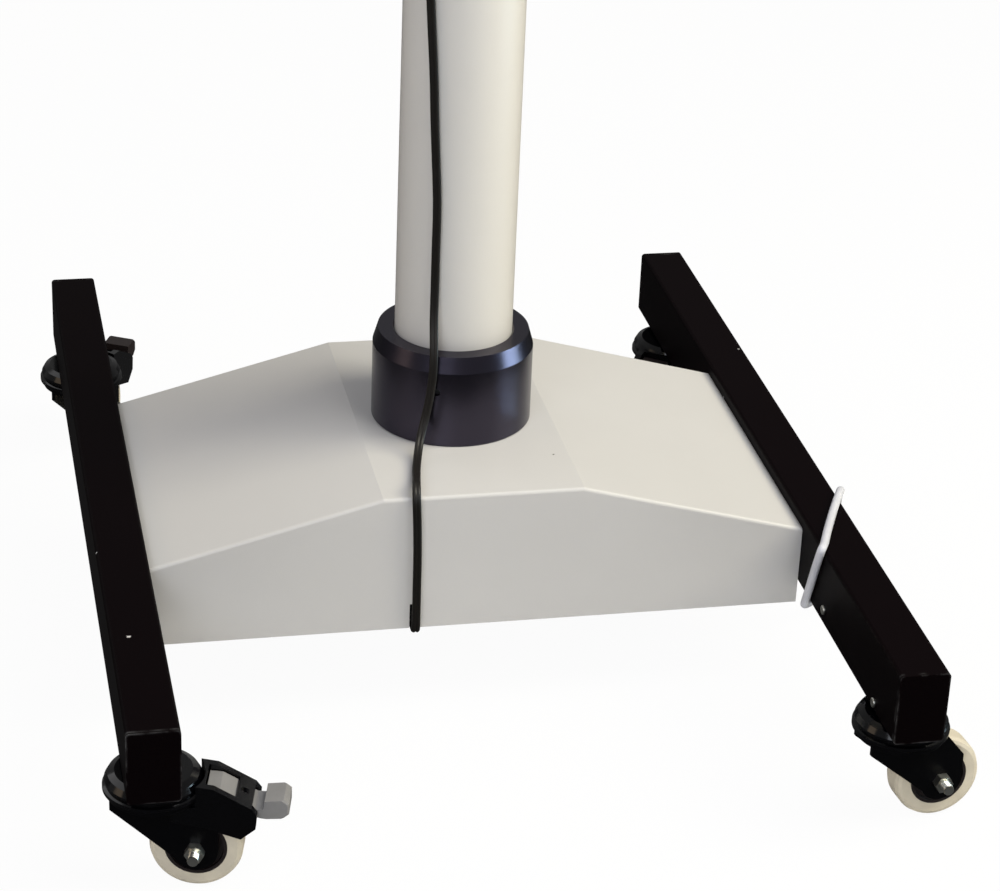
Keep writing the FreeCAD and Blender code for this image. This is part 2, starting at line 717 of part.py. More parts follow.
def elbow_and_links():
    hub_radius = elbow_hub_diameter / 2
    bore = elbow_spigot_diameter / 2 + running_gap
    hub = turned([(bore, boss_top + face_gap), (hub_radius, boss_top + face_gap), (hub_radius, elbow_top),
                  (0, elbow_top), (0, elbow_spigot_top + face_gap), (bore, elbow_spigot_top + face_gap)])
    hub.translate(V(0, swing_y, 0))
    outer = upper_link_width / 2 + ear_gap + ear_thickness
    shelf = box(-outer, outer, swing_y - 30, swing_y + 30, elbow_top - elbow_cap, elbow_top)
    block = fuse(hub, shelf, *ears(swing_y, elbow_ear_depth, elbow_top - 1))
    save("elbow_block", block)

    upper_half = upper_link_height / 2
    upper = box(-upper_link_width / 2, upper_link_width / 2, head_y, swing_y,
                upper_pivot_z - upper_half, upper_pivot_z + upper_half)
    rounds = []
    for y in (head_y, swing_y):
        rounds.append(cylinder(upper_half, V(-upper_link_width / 2, y, upper_pivot_z), X_AXIS,
                               upper_link_width))
    upper = fuse(upper, *rounds)
    for y in (head_y, swing_y):
        upper = upper.cut(cylinder(pivot_diameter / 2 + running_gap, V(-50, y, upper_pivot_z), X_AXIS, 100))
    save("balance_upper_link", upper)

    lower_half = lower_link_height / 2
    lower = box(-lower_link_width / 2, lower_link_width / 2, head_y, swing_y,
                lower_pivot_z - lower_half, lower_pivot_z + lower_half)
    rounds = []
    for y in (head_y, swing_y):
        rounds.append(cylinder(lower_half + 3, V(-lower_link_width / 2, y, lower_pivot_z), X_AXIS,
                               lower_link_width))
    lower = fuse(lower, *rounds)
    for y in (head_y, swing_y):
        lower = lower.cut(cylinder(pivot_diameter / 2 + running_gap, V(-50, y, lower_pivot_z), X_AXIS, 100))
    save("balance_lower_link", lower)

    half = end_block_depth / 2
    shelf = box(-outer, outer, head_y - half, head_y + half, block_bottom, block_bottom + end_block_floor)
    cap_top = yoke_bottom - face_gap
    post = cylinder(post_diameter / 2, V(0, head_y, cap_top - 1), Z_AXIS, block_bottom - cap_top + 2)
    cap_start = V(0, head_y, cap_top - post_cap_thickness)
    cap = cylinder(post_cap_diameter / 2, cap_start, Z_AXIS, post_cap_thickness)
    block = fuse(shelf, post, cap, *ears(head_y, end_block_depth, block_bottom + end_block_floor - 1))
    save("end_block", block)


def yoke():
    hub = cylinder(yoke_hub_diameter / 2, V(0, head_y, yoke_bottom), Z_AXIS, yoke_hub_height)
    outer = yoke_half_span + yoke_arm_thickness
    half = yoke_bar_depth / 2
    bar = box(-outer, outer, head_y - half, head_y + half, yoke_bottom, yoke_bottom + yoke_bar_height)
    pieces = [bar]
    for side in (-1, 1):
        x0 = yoke_half_span if side > 0 else -outer
        pieces.append(box(x0, x0 + yoke_arm_thickness, head_y - half, head_y + half,
                          tilt_z, yoke_bottom + 1))
        pieces.append(cylinder(half, V(x0, head_y, tilt_z), X_AXIS, yoke_arm_thickness))
    arms = fuse(hub, *pieces)
    corner_edges = []
    for edge in arms.Edges:
        b = edge.BoundBox
        at_top = abs(b.ZMin - yoke_bottom - yoke_bar_height) < 0.01 and b.ZLength < 0.01
        if at_top and abs(abs(b.XMin) - outer) < 0.01 and b.XLength < 0.01:
            corner_edges.append(edge)
    arms = arms.makeFillet(16, corner_edges)
    arms = arms.cut(cylinder(post_diameter / 2 + running_gap, V(0, head_y, yoke_bottom - 1), Z_AXIS, 200))
    arms = arms.cut(cylinder(trunnion_diameter / 2 + running_gap, V(-outer - 1, head_y, tilt_z),
                             X_AXIS, 2 * outer + 2))
    save("head_yoke", arms)


def microscope_head():
    half_w = head_width / 2
    half_d = head_depth / 2
    top = tilt_z + head_above_axis
    bottom = top - head_height
    body = box(-half_w, half_w, head_y - half_d, head_y + half_d, bottom, top)
    upright = [e for e in body.Edges if abs(e.tangentAt(0).z) > 0.9]
    body = body.makeFillet(head_round, upright)
    rim = [e for e in body.Edges if abs(e.BoundBox.ZMin - top) < 0.01 and e.BoundBox.ZLength < 0.01]
    body = body.makeFillet(4, rim)
    reach = yoke_half_span + yoke_arm_thickness
    trunnions = []
    for side in (-1, 1):
        x0 = half_w - 1 if side > 0 else -reach
        trunnions.append(cylinder(trunnion_diameter / 2, V(x0, head_y, tilt_z), X_AXIS, reach - half_w + 1))
        x1 = half_w - 1 if side > 0 else -yoke_half_span + face_gap
        trunnions.append(cylinder(trunnion_diameter / 2 + 4, V(x1, head_y, tilt_z), X_AXIS,
                                  yoke_half_span - half_w + 1 - face_gap))
    body = fuse(body, *trunnions)
    drum = V(0, head_y + 14, tilt_z - drum_below_axis)
    body = body.cut(cylinder(drum_shaft_diameter / 2 + running_gap, drum - V(half_w + 1, 0, 0), X_AXIS,
                             head_width + 2))
    save("microscope_body", body)

    shaft = cylinder(drum_shaft_diameter / 2, drum - V(half_w + 2, 0, 0), X_AXIS, head_width + 4)
    knobs = []
    for side in (-1, 1):
        x0 = half_w + face_gap if side > 0 else -half_w - face_gap - drum_knob_width
        knob = cylinder(drum_knob_diameter / 2, drum + V(x0, 0, 0), X_AXIS, drum_knob_width)
        for i in range(10):
            angle = math.radians(36 * i)
            r = drum_knob_diameter / 2 + 1.2
            centre = drum + V(x0 - 1, r * math.cos(angle), r * math.sin(angle))
            knob = knob.cut(cylinder(3.0, centre, X_AXIS, drum_knob_width + 2))
        knobs.append(knob)
    save("magnification_knobs", fuse(shaft, *knobs))

    r = objective_diameter / 2
    neck = objective_neck_diameter / 2
    bore = objective_bore / 2
    seat = bottom - objective_length
    seat_top = seat + 1 + objective_seat_length
    flange = bottom - objective_flange
    barrel = turned([(bore, bottom), (r + 4, bottom), (r + 4, flange), (neck, flange), (neck, seat_top),
                     (r, seat_top), (r, seat + 1), (r - 1, seat), (bore + 1, seat), (bore, seat + 1),
                     (bore, seat + 4), (bore - 2, seat + 4), (bore - 2, seat + 5), (bore, seat + 5.1)])
    barrel.translate(V(0, head_y, 0))
    save("objective_barrel", barrel)
    lens_radius = bore - slip_gap
    lens_low = seat + 5.2
    lens = turned([(0, lens_low - 3), (lens_radius * 0.5, lens_low - 2.2), (bore - 2.2, lens_low),
                   (lens_radius, lens_low), (lens_radius, lens_low + lens_thickness),
                   (0, lens_low + lens_thickness)])
    lens.translate(V(0, head_y, 0))
    save("objective_lens", lens)
    ring_top = flange - face_gap
    ring_low = seat_top + face_gap
    ring_r = focus_ring_diameter / 2
    inside = neck + running_gap
    ring = turned([(inside, ring_low), (ring_r - 1.5, ring_low), (ring_r, ring_low + 1.5),
                   (ring_r, ring_top - 1.5), (ring_r - 1.5, ring_top), (inside, ring_top)])
    for i in range(18):
        angle = math.radians(20 * i)
        centre = V((ring_r + 1) * math.cos(angle), (ring_r + 1) * math.sin(angle), ring_low - 1)
        ring = ring.cut(cylinder(2.6, centre, Z_AXIS, ring_top - ring_low + 2))
    ring.translate(V(0, head_y, 0))
    save("focus_ring", ring)
    return drum, bottom, seat


def binocular_and_handles(bottom):
    front = head_y - head_depth / 2
    slope = math.radians(eyepiece_angle)
    way = V(0, -math.cos(slope), math.sin(slope))
    normal = V(0, math.sin(slope), math.cos(slope))
    middle = V(0, front - binocular_forward, tilt_z - binocular_drop)
    a = middle - normal * binocular_face_low
    b = middle + normal * binocular_face_high
    outline = [V(0, front, tilt_z - binocular_low), a, b, V(0, front, tilt_z + binocular_high)]
    half = eyepiece_spacing / 2 + binocular_side
    housing = prism([V(-half, p.y, p.z) for p in outline], V(2 * half, 0, 0))
    across = [e for e in housing.Edges if e.BoundBox.XLength > 2 * half - 1 and e.BoundBox.YMax < front - 1]
    housing = housing.makeFillet(6, across)
    save("binocular_housing", housing)

    turn = FreeCAD.Rotation(Z_AXIS, way)
    eyepieces = []
    tube = eyepiece_tube_diameter / 2
    barrel = eyepiece_barrel_diameter / 2
    cup = eyecup_diameter / 2
    length = eyepiece_tube_length
    barrel_end = length + eyepiece_barrel_length
    cup_end = eyecup_start + eyecup_length
    for side in (-1, 1):
        piece = turned([(0, 0), (tube, 0), (tube, length), (barrel, length + 2), (barrel, barrel_end - 2),
                        (barrel - 2, barrel_end), (barrel - 2, eyecup_start - 6), (cup, eyecup_start),
                        (cup, cup_end - 8), (cup - 3, cup_end), (cup - 6, cup_end), (cup - 9, cup_end - 10),
                        (0, cup_end - 12)])
        piece.Placement = FreeCAD.Placement(middle + V(side * eyepiece_spacing / 2, 0, 0), turn)
        eyepieces.append(piece)
    save("eyepieces", *eyepieces)

    handles = []
    rod_y = head_y - handle_rod_forward
    rod_z = bottom + handle_rod_above
    low = -handle_grip_below
    flange = low + 6 + handle_sleeve_length
    for side in (-1, 1):
        x0 = head_width / 2 if side > 0 else -handle_span
        rod = cylinder(handle_rod_diameter / 2, V(x0, rod_y, rod_z), X_AXIS, handle_span - head_width / 2)
        r = handle_grip_diameter / 2
        rim = handle_flange_diameter / 2
        grip = turned([(0, low), (r - 4, low), (r - 1, low + 2), (r, low + 6), (r, flange), (rim, flange),
                       (rim, flange + 3), (r + 1, flange + 5), (r + 1, handle_grip_above - 4),
                       (r - 2, handle_grip_above), (0, handle_grip_above)])
        grip.translate(V(side * handle_span, rod_y, rod_z))
        handles.append(fuse(rod, grip))
    save("handles", *handles)
    return rod_z


def rounded_route(points):
    """Straight runs joined by tangent arcs, each as large as its two runs allow."""
    edges = []
    radii = []
    last = points[0]
    for before, corner, after in zip(points, points[1:], points[2:]):
        run_in = corner - before
        run_out = after - corner
        shorter = min(run_in.Length, run_out.Length)
        cut = 0.45 * shorter
        a = V(run_in).normalize()
        b = V(run_out).normalize()
        turn = math.acos(max(-1.0, min(1.0, a.dot(b))))
        radius = cut / math.tan(turn / 2)
        radii.append(radius)
        start = corner - a * cut
        end = corner + b * cut
        inward = V(b - a).normalize()
        middle = corner + inward * (radius / math.cos(turn / 2) - radius)
        if (start - last).Length > 1e-6:
            edges.append(Part.LineSegment(last, start).toShape())
        edges.append(Part.Arc(start, middle, end).toShape())
        last = end
    edges.append(Part.LineSegment(last, points[-1]).toShape())
    return Part.Wire(edges), radii


def cord(name, points, diameter):
    wire, radii = rounded_route(points)
    way = V(points[1] - points[0]).normalize()
    circle = Part.Wire(Part.Circle(points[0], way, diameter / 2).toShape())
    solid = wire.makePipeShell([circle], True, False)
    expected = wire.Length * math.pi * (diameter / 2) ** 2
    print(name, "length", round(wire.Length, 1), "volume ratio", round(solid.Volume / expected, 4),
          "smallest radius", round(min(radii), 1), "radii", [round(r) for r in radii])
    save(name, solid)


def cords():
    cord("column_cord", column_cord_points, cord_diameter)
    cord("mains_lead", mains_lead_points, lead_diameter)

    reach = coil_rows * lead_diameter / 2
    mean = coil_mean_diameter / 2
    height = coil_layers * lead_diameter
    k = lead_diameter / 2
    ring = turned([(mean - reach, k), (mean - reach + k, 0), (mean + reach - k, 0), (mean + reach, k),
                   (mean + reach, height - k), (mean + reach - k, height), (mean - reach + k, height),
                   (mean - reach, height - k)])
    ring.translate(coil_centre)
    save("mains_coil", ring)


def glands_and_plug():
    blocks = []
    half = gland_size / 2
    for start, after in (column_cord_points[:2], mains_lead_points[:2]):
        block = box(-half, half, 0, gland_length, start.z - half + 1, leg_underside)
        lower = [e for e in block.Edges
                 if abs(e.tangentAt(0).y) > 0.9 and e.BoundBox.ZMax < leg_underside - 1]
        block = block.makeFillet(4, lower)
        block.rotate(V(0, 0, 0), Z_AXIS, math.degrees(math.atan2(after.y - start.y, after.x - start.x)) + 90)
        block.translate(V(start.x, start.y, 0))
        blocks.append(block)
    save("base_glands", *blocks)

    end = column_cord_points[-1]
    out = V(end.x, end.y, 0).normalize()
    side = V(-out.y, out.x, 0)
    half = 9.0
    low = out * (column_radius - 6) + V(0, 0, end.z)
    depth = 20.0
    corners = [low + side * half, low + side * half + out * depth, low - side * half + out * depth,
               low - side * half]
    boot = prism(corners, V(0, 0, 30))
    boot = boot.cut(cylinder(column_radius, V(0, 0, end.z - 1), Z_AXIS, 40))
    outer_edges = []
    for edge in boot.Edges:
        b = edge.BoundBox
        if b.ZLength > 29 and V(b.Center.x, b.Center.y, 0).Length > column_radius + 8:
            outer_edges.append(edge)
    save("column_gland", boot.makeFillet(4, outer_edges))

    tip = mains_plug_start
    body = turned([(0, 0), (5.5, 0), (6.5, 16), (15, 24), (17, 34), (17, 50), (15, 54), (0, 54)])
    pins = []
    for angle in (90, 210, 330):
        a = math.radians(angle)
        pins.append(cylinder(2.4, V(9 * math.cos(a), 9 * math.sin(a), 53), Z_AXIS, 20))
    plug = fuse(body, *pins)
    plug.Placement = FreeCAD.Placement(tip, FreeCAD.Rotation(Z_AXIS, mains_plug_way))
    save("mains_plug", plug)


# The dark cord: from its gland under the front beam, through the notch in the skirt, up the cover,
# over the collar and up the column to the gland near the column's top
column_cord_points = [
    V(-54, -120, 79), V(-54, -138, 79), V(-54, -155.8, 92), V(-54.1, -155.6, 120), V(-54.3, -155.9, 149),
    V(-55.2, -155.7, 176), V(-56.4, -156.4, 198), V(-55, -146, 206), V(-52, -129, 201.5),
    V(-48.5, -109, 200.4), V(-44, -89, 201.5), V(-40, -75, 208), V(-35, -67, 222), V(-31, -65.4, 240),
    V(-28.8, -66.2, 262), V(-28, -63.4, 281), V(-26.6, -50.5, 304), V(-25.7, -46.6, 330),
    V(-25.9, -46.4, 366), V(-25.7, -46.5, 400), V(-27, -45.8, 428), V(-29.4, -44.3, 470),
    V(-30.9, -43.3, 510), V(-34.8, -40.2, 570), V(-38.5, -36.7, 640), V(-36.5, -38.7, 725),
    V(-34, -40.9, column_top - column_gland_drop - 180),
    V(-34.9, -40.2, column_top - column_gland_drop - 85), V(-34.6, -40.4, column_top - column_gland_drop)]

# The white mains lead: from its gland under the front beam, forward under the right leg, up the
# leg's inner face, slantwise over it, down outside to the floor and back under the stand
mains_lead_points = [
    V(252, -105, 84), V(269, -105, 84), V(286, -111, 86), V(293.5, -129, 89.5), V(293, -150, 90.5),
    V(286, -169, 88), V(273, -183, 82.5), V(260.5, -192, 88), V(259.5, -196.5, 105), V(262, -202, 123),
    V(263, -210.5, 141), V(261, -219, 158), V(264.5, -223, 170), V(272.5, -216, 173.5),
    V(281.5, -198, 167), V(291, -170, 161.5), V(302, -141, 166), V(315.5, -117, 164.5),
    V(321.5, -98, 142), V(327, -79, 103), V(336, -61, 55), V(345, -44, 20), V(350, -16, 3.5),
    V(345, 8, 3.5), V(323, 24, 3.5), V(288, 28, 3.5), V(250, 25, 3.5), V(214, 19.5, 3.5), V(177, 16.5, 3.5)]
mains_plug_start = V(112.8, 86.2, 17.1)
mains_plug_way = V(-0.12, 0.99, 0)

legs()
base_frame()
base_cover()
column_and_collar()
screws()
castor_stems()
castors()
arm_middle = swing_arm()
dimmer_place = control_box(arm_middle)
elbow_and_links()
yoke()
drum_place, head_bottom, lens_seat = microscope_head()
rod_height = binocular_and_handles(head_bottom)
cords()
glands_and_plug()
print("outline", write_pieces(), "castors", front_castor_y, rear_castor_y, "arm", arm_middle)
print("dimmer", dimmer_place, "pivots", lower_pivot_z, upper_pivot_z, "head_y", head_y, "tilt_z", tilt_z)
print("drum", drum_place, "seat", lens_seat, "bottom", head_bottom, "rod", rod_height)
print("yoke", yoke_bottom, yoke_top, "boss", boss_top)
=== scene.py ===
# %% [markdown]
# # A surgical microscope on its floor stand
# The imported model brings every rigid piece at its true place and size. This script dresses those
# pieces: it adds the camera, the two cords, paint, nylon, zinc and rubber, and the small trim that
# a drawing leaves out. Units are metres, +Z is up and -Y is the side where the surgeon sits.

# %% Load the frame
import math

import bpy
import numpy as np
from mathutils import Matrix, Vector


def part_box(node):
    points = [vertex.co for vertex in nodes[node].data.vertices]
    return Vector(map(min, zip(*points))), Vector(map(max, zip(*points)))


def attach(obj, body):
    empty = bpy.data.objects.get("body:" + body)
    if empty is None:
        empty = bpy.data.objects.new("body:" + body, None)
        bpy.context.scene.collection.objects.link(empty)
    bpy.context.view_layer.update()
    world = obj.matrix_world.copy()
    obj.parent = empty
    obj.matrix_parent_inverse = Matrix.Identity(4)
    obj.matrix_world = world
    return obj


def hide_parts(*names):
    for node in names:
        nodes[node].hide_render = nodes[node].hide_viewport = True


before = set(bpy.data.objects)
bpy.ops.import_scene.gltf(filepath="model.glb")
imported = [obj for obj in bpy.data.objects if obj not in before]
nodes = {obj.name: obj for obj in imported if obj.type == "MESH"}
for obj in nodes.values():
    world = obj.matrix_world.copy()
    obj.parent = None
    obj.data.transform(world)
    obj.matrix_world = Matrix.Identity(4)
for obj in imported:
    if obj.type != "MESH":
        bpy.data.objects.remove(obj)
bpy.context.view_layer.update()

# %% [markdown]
# ## The column's axis
# The stand was measured in millimetres from the middle of its column, while the frame's origin lies
# in the middle of the footprint. The column tube's own box gives the step between the two, so that
# no number has to be carried over by hand.

# %% Find the column's axis
tube_low, tube_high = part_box("column_tube")
column = np.array([(tube_low.x + tube_high.x) / 2, (tube_low.y + tube_high.y) / 2, 0.0])
print("column axis", column, "diameter", round(tube_high.x - tube_low.x, 4))


def drawn(places):
    """Places in the frame, from places as the drawing gives them: the column's axis plus a
    thousandth of each."""
    return column + 0.001 * np.array(places)


def at(x, y, z):
    """One such place."""
    return drawn([x, y, z])


# %% [markdown]
# ## The camera
# The stand was photographed from the front left, from well above, with a long lens. The camera's
# turn is given as a heading from +Y towards +X, a tilt down, and a small roll. These values were
# fitted to the straight edges of the legs, the cover and the column, because a camera placed by eye
# leaves every later comparison a little off.

# %% Place the camera
image_width = 1000
focal_pixels = 2932.0
heading = math.radians(12.540)
tilt = math.radians(26.788)
roll = math.radians(2.487)
camera_place = column + np.array([-0.4403, -2.1777, 1.2873])


def camera_axes(heading, tilt, roll):
    """Rightward, upward and forward unit vectors of a camera with this heading, tilt and roll."""
    forward = np.array([math.sin(heading) * math.cos(tilt), math.cos(heading) * math.cos(tilt),
                        -math.sin(tilt)])
    right = np.array([math.cos(heading), -math.sin(heading), 0.0])
    up = np.cross(right, forward)
    return (math.cos(roll) * right + math.sin(roll) * up,
            math.cos(roll) * up - math.sin(roll) * right, forward)


right, up, forward = camera_axes(heading, tilt, roll)
camera_data = bpy.data.cameras.new("camera")
camera_data.sensor_width = 36.0
camera_data.lens = focal_pixels / image_width * camera_data.sensor_width
camera_data.clip_start = 0.05
camera_data.clip_end = 50.0
camera = bpy.data.objects.new("camera", camera_data)
bpy.context.scene.collection.objects.link(camera)
camera.matrix_world = Matrix.Translation(Vector(camera_place)) @ Matrix(
    [list(row) for row in np.column_stack([right, up, -forward])]).to_4x4()
bpy.context.scene.camera = camera
print("lens", round(camera_data.lens, 2), "mm")

# %% [markdown]
# ## Tubes along a path
# Both cords, their boots and other round trim are one kind of surface: a closed cross-section
# carried along a path. Each ring is the path's point plus the section's two coordinates times two
# directions across the path. The frame is carried along without spin, so the tube doesn't twist. A
# bevelled curve would give a round tube as well, but not a flat cord with a waist, a ribbed boot, or
# a UV map in metres.

# %% Define meshes and closed tubes


def put_mesh(name, points, faces):
    """A smooth mesh object at the origin from an array of points and a list of faces."""
    mesh = bpy.data.meshes.new(name)
    mesh.from_pydata(points.tolist(), [], faces)
    mesh.validate()
    mesh.polygons.foreach_set("use_smooth", [True] * len(mesh.polygons))
    piece = bpy.data.objects.new(name, mesh)
    bpy.context.scene.collection.objects.link(piece)
    return piece


def ring_faces(count, around):
    """Quads between neighbours of a grid of count rings with around points each."""
    row, place = np.meshgrid(np.arange(count - 1), np.arange(around), indexing="ij")
    row, place = row.ravel(), place.ravel()
    beside = (place + 1) % around
    return np.stack([row * around + place, row * around + beside,
                     (row + 1) * around + beside, (row + 1) * around + place], 1).tolist()


def tube_faces(count, around):
    """Faces of a closed tube, turned outwards. Its points are count rings, then the middle of the
    first ring and the middle of the last, round which each end closes as a fan."""
    faces = [face[::-1] for face in ring_faces(count, around)]
    first, last = count * around, count * around + 1
    faces += [[first, j, (j + 1) % around] for j in range(around)]
    faces += [[last, (count - 1) * around + (j + 1) % around, (count - 1) * around + j]
              for j in range(around)]
    return faces


# %% Define directions and distances along a path


def unit_tangents(path):
    """The path's direction at each point: the step between its neighbours, made one long."""
    tangent = np.gradient(path, axis=0)
    return tangent / np.linalg.norm(tangent, axis=1, keepdims=True)


def path_frames(path, side):
    """Two unit directions across the path. The first stays as near to side as it can: side minus
    its part along the tangent, made one long. The second is square to both."""
    tangent = unit_tangents(path)
    across = side - (side * tangent).sum(1, keepdims=True) * tangent
    across /= np.linalg.norm(across, axis=1, keepdims=True)
    return across, np.cross(tangent, across)


def carried_side(path, start):
    """A side direction carried along the path: at each step it is the last side less its part along
    the new tangent, so that it never spins round the path."""
    sides = np.empty_like(path)
    now = np.asarray(start, float)
    for i, tangent in enumerate(unit_tangents(path)):
        now = now - (now @ tangent) * tangent
        now = now / np.linalg.norm(now)
        sides[i] = now
    return sides


def distance_along(path):
    """The distance of each point from the path's start: the running sum of the steps."""
    return np.concatenate([[0.0], np.linalg.norm(np.diff(path, axis=0), axis=1).cumsum()])


# %% Define the swept tube


def wrap_uv(piece, path, around):
    """A tube's UV map: the share round the section, and the distance along the path in metres. In a
    face that spans the seam, the shares that start again from 0 get 1 added."""
    count = len(path)
    along = distance_along(path)
    share = np.concatenate([np.tile(np.arange(around) / around, count), [0.0, 0.0]])
    distance = np.concatenate([np.repeat(along, around), [0.0, along[-1]]])
    loops = np.empty(len(piece.data.loops), np.int64)
    piece.data.loops.foreach_get("vertex_index", loops)
    starts = np.empty(len(piece.data.polygons), np.int64)
    piece.data.polygons.foreach_get("loop_start", starts)
    sizes = np.diff(np.append(starts, len(loops)))
    u = share[loops]
    highest = np.repeat(np.maximum.reduceat(u, starts), sizes)
    u = np.where(highest - u > 0.5, u + 1.0, u)
    layer = piece.data.uv_layers.new(name="around_and_along")
    layer.data.foreach_set("uv", np.stack([u, distance[loops]], 1).ravel())


def swept(name, path, sections, side):
    """A closed tube: point (i, j) is path[i] + a * across + b * over, where (a, b) is
    sections[i, j]. Both ends are closed by a fan round the path's own end points."""
    across, over = path_frames(path, side)
    count, around = len(path), sections.shape[-2]
    sections = np.broadcast_to(sections, (count, around, 2))
    rings = path[:, None] + sections[..., :1] * across[:, None] + sections[..., 1:] * over[:, None]
    points = np.concatenate([rings.reshape(-1, 3), path[:1], path[-1:]])
    piece = put_mesh(name, points, tube_faces(count, around))
    wrap_uv(piece, path, around)
    return piece


def round_section(radius, around):
    """A circle of points: radius times cosine and sine of equal angles."""
    angle = np.linspace(0, 2 * np.pi, around, endpoint=False)
    return radius * np.stack([np.cos(angle), np.sin(angle)], -1)


# %% Define the smooth route


def spline_points(points):
    """Points along a smooth NURBS route whose control points are the ones given."""
    curve = bpy.data.curves.new("route", "CURVE")
    curve.dimensions = "3D"
    curve.resolution_u = 6
    spline = curve.splines.new("NURBS")
    spline.points.add(len(points) - 1)
    spline.points.foreach_set("co", np.column_stack([points, np.ones(len(points))]).ravel())
    spline.order_u = 3
    spline.use_endpoint_u = True
    holder = bpy.data.objects.new("route", curve)
    mesh = bpy.data.meshes.new_from_object(holder)
    path = np.empty(len(mesh.vertices) * 3)
    mesh.vertices.foreach_get("co", path)
    bpy.data.objects.remove(holder)
    bpy.data.meshes.remove(mesh)
    bpy.data.curves.remove(curve)
    return path.reshape(-1, 3)


# %% [markdown]
# ## The dark column cord
# A flat two-core cord runs from a gland under the cover, through a notch in the skirt, over the
# cover and the collar, and up the column to the arm. Its section is two round cores joined by a
# narrow web, which is what gives the real one its thin light line down the middle. Two tubes side by
# side would look alike, but one pinched section keeps the cord a single closed surface.

# %% Make the column cord
cord_width = 0.007
cord_thickness = 0.0046
column_route = drawn([
    (-54, -120, 79), (-54, -138, 77.5), (-54, -149, 75.4), (-54, -156, 76.5), (-54, -155.9, 86),
    (-54, -155.8, 100), (-54.1, -155.6, 122), (-54.3, -155.9, 149), (-55.2, -155.7, 176),
    (-56.4, -156.4, 198), (-55, -146, 206), (-52, -129, 201.5), (-48.5, -109, 200.4),
    (-44, -89, 201.5), (-40, -75, 208), (-35, -67, 222), (-31, -65.4, 240), (-28.8, -66.2, 262),
    (-28, -63.4, 281), (-26.6, -50.5, 304), (-25.7, -46.6, 330), (-25.9, -46.4, 366),
    (-25.7, -46.5, 400), (-27, -45.8, 428), (-29.4, -44.3, 470), (-30.9, -43.3, 510),
    (-34.8, -40.2, 570), (-38.5, -36.7, 640), (-36.5, -38.7, 725), (-34, -40.9, 820),
    (-34.9, -40.2, 915), (-34.6, -40.4, 1000)])


def twin_section(width, thickness):
    """Two round cores side by side with a waist between them: a circle whose two coordinates are
    stretched to the width and thickness, and whose thickness is pinched near the middle."""
    angle = np.linspace(0, 2 * np.pi, 32, endpoint=False)
    a = np.cos(angle)
    pinch = 1.0 - 0.42 * np.exp(-(a / 0.22) ** 2)
    b = np.sign(np.sin(angle)) * np.abs(np.sin(angle)) ** 0.8 * pinch
    return np.stack([a * width / 2, b * thickness / 2], -1)


column_path = spline_points(column_route)
column_cord = swept("column_cord_twin", column_path, twin_section(cord_width, cord_thickness),
                    carried_side(column_path, (1.0, 0.0, 0.0)))
column_length = float(distance_along(column_path)[-1])
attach(column_cord, "stand")
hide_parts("column_cord")
print("column cord", round(column_length, 3), "m")

# %% [markdown]
# ## The white mains lead
# The lead leaves its own gland under the cover, passes under the right leg, climbs that leg's inner
# face, crosses its top and drops to the floor. Only the crossing shows. The rest of its length is
# wound into a neat coil of nine rows under the cover, with the plug beside it. Each row of the coil
# lies a diameter from the next, and the step to the next row comes a little earlier on every turn, so
# no two turns meet. Route, coil and tail are one spline, because a coil joined on as a piece of its
# own would show a kink.

# %% Make the mains lead
lead_diameter = 0.007
lead_route = drawn([
    (252, -105, 84), (269, -105, 84), (286, -111, 86), (293.5, -129, 90), (293, -149, 92),
    (287, -165, 92.4), (279, -174, 92.4), (270, -180.5, 92.4), (265.4, -183, 92.2), (265.4, -185, 97),
    (265.4, -187, 102), (265.4, -191, 111), (265.4, -196, 123), (265.4, -200.7, 135),
    (265.4, -206, 147), (265.4, -209.4, 154.5), (265.8, -211, 159.6), (270.2, -203.5, 159.6),
    (274, -194.6, 159.5), (280.3, -180, 159.5), (288, -163, 159.5), (295.6, -146.7, 159.5),
    (303, -131.5, 159.5), (308.8, -119.8, 159.6), (312.8, -112, 159.4), (313.2, -108, 154),
    (314, -103, 144), (319, -91, 122), (325, -79, 96), (334, -62, 56), (344, -44, 20),
    (350, -16, 3.5), (345, 8, 3.5), (323, 24, 3.5), (288, 28, 3.5), (250, 25, 3.5),
    (214, 19.5, 3.5), (177, 16.5, 3.5)])
coil_centre = np.array([0.160, 0.062, 0.0])
coil_cells = [(45.5, 3.5), (38.5, 3.5), (31.5, 3.5), (31.5, 10.5), (31.5, 17.5),
              (38.5, 17.5), (38.5, 10.5), (45.5, 10.5), (45.5, 17.5)]
points_per_turn = 12
points_per_row = points_per_turn - 1


def coil_points(centre, cells):
    """Control points of a wound coil: equal steps of angle, and one radius and height per row. A
    smooth spline lies inside its control points, so the radii are made that much larger."""
    widen = 1.0 / math.cos(math.pi / points_per_turn)
    index = np.arange(points_per_row * len(cells) + 1)
    row = np.minimum(index // points_per_row, len(cells) - 1)
    angle = -np.pi / 2 - 2 * np.pi / points_per_turn * index
    radius = 0.001 * widen * np.array(cells)[row, 0]
    height = 0.001 * np.array(cells)[row, 1]
    return column + centre + np.stack([radius * np.cos(angle), radius * np.sin(angle), height], 1)


plug_start = at(112.8, 86.2, 17.1)
lead_tail = np.array([plug_start + (0.0, -0.012, 0.0002), plug_start])
coil = coil_points(coil_centre, coil_cells)
lead_path = spline_points(np.concatenate([lead_route, coil, lead_tail]))
mains_lead = swept("mains_lead_sleeve", lead_path, round_section(lead_diameter / 2, 16),
                   carried_side(lead_path, (1.0, 0.0, 0.0)))
lead_length = float(distance_along(lead_path)[-1])
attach(mains_lead, "stand")
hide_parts("mains_lead", "mains_coil")
print("mains lead", round(lead_length, 3), "m, coil end", coil[-1])

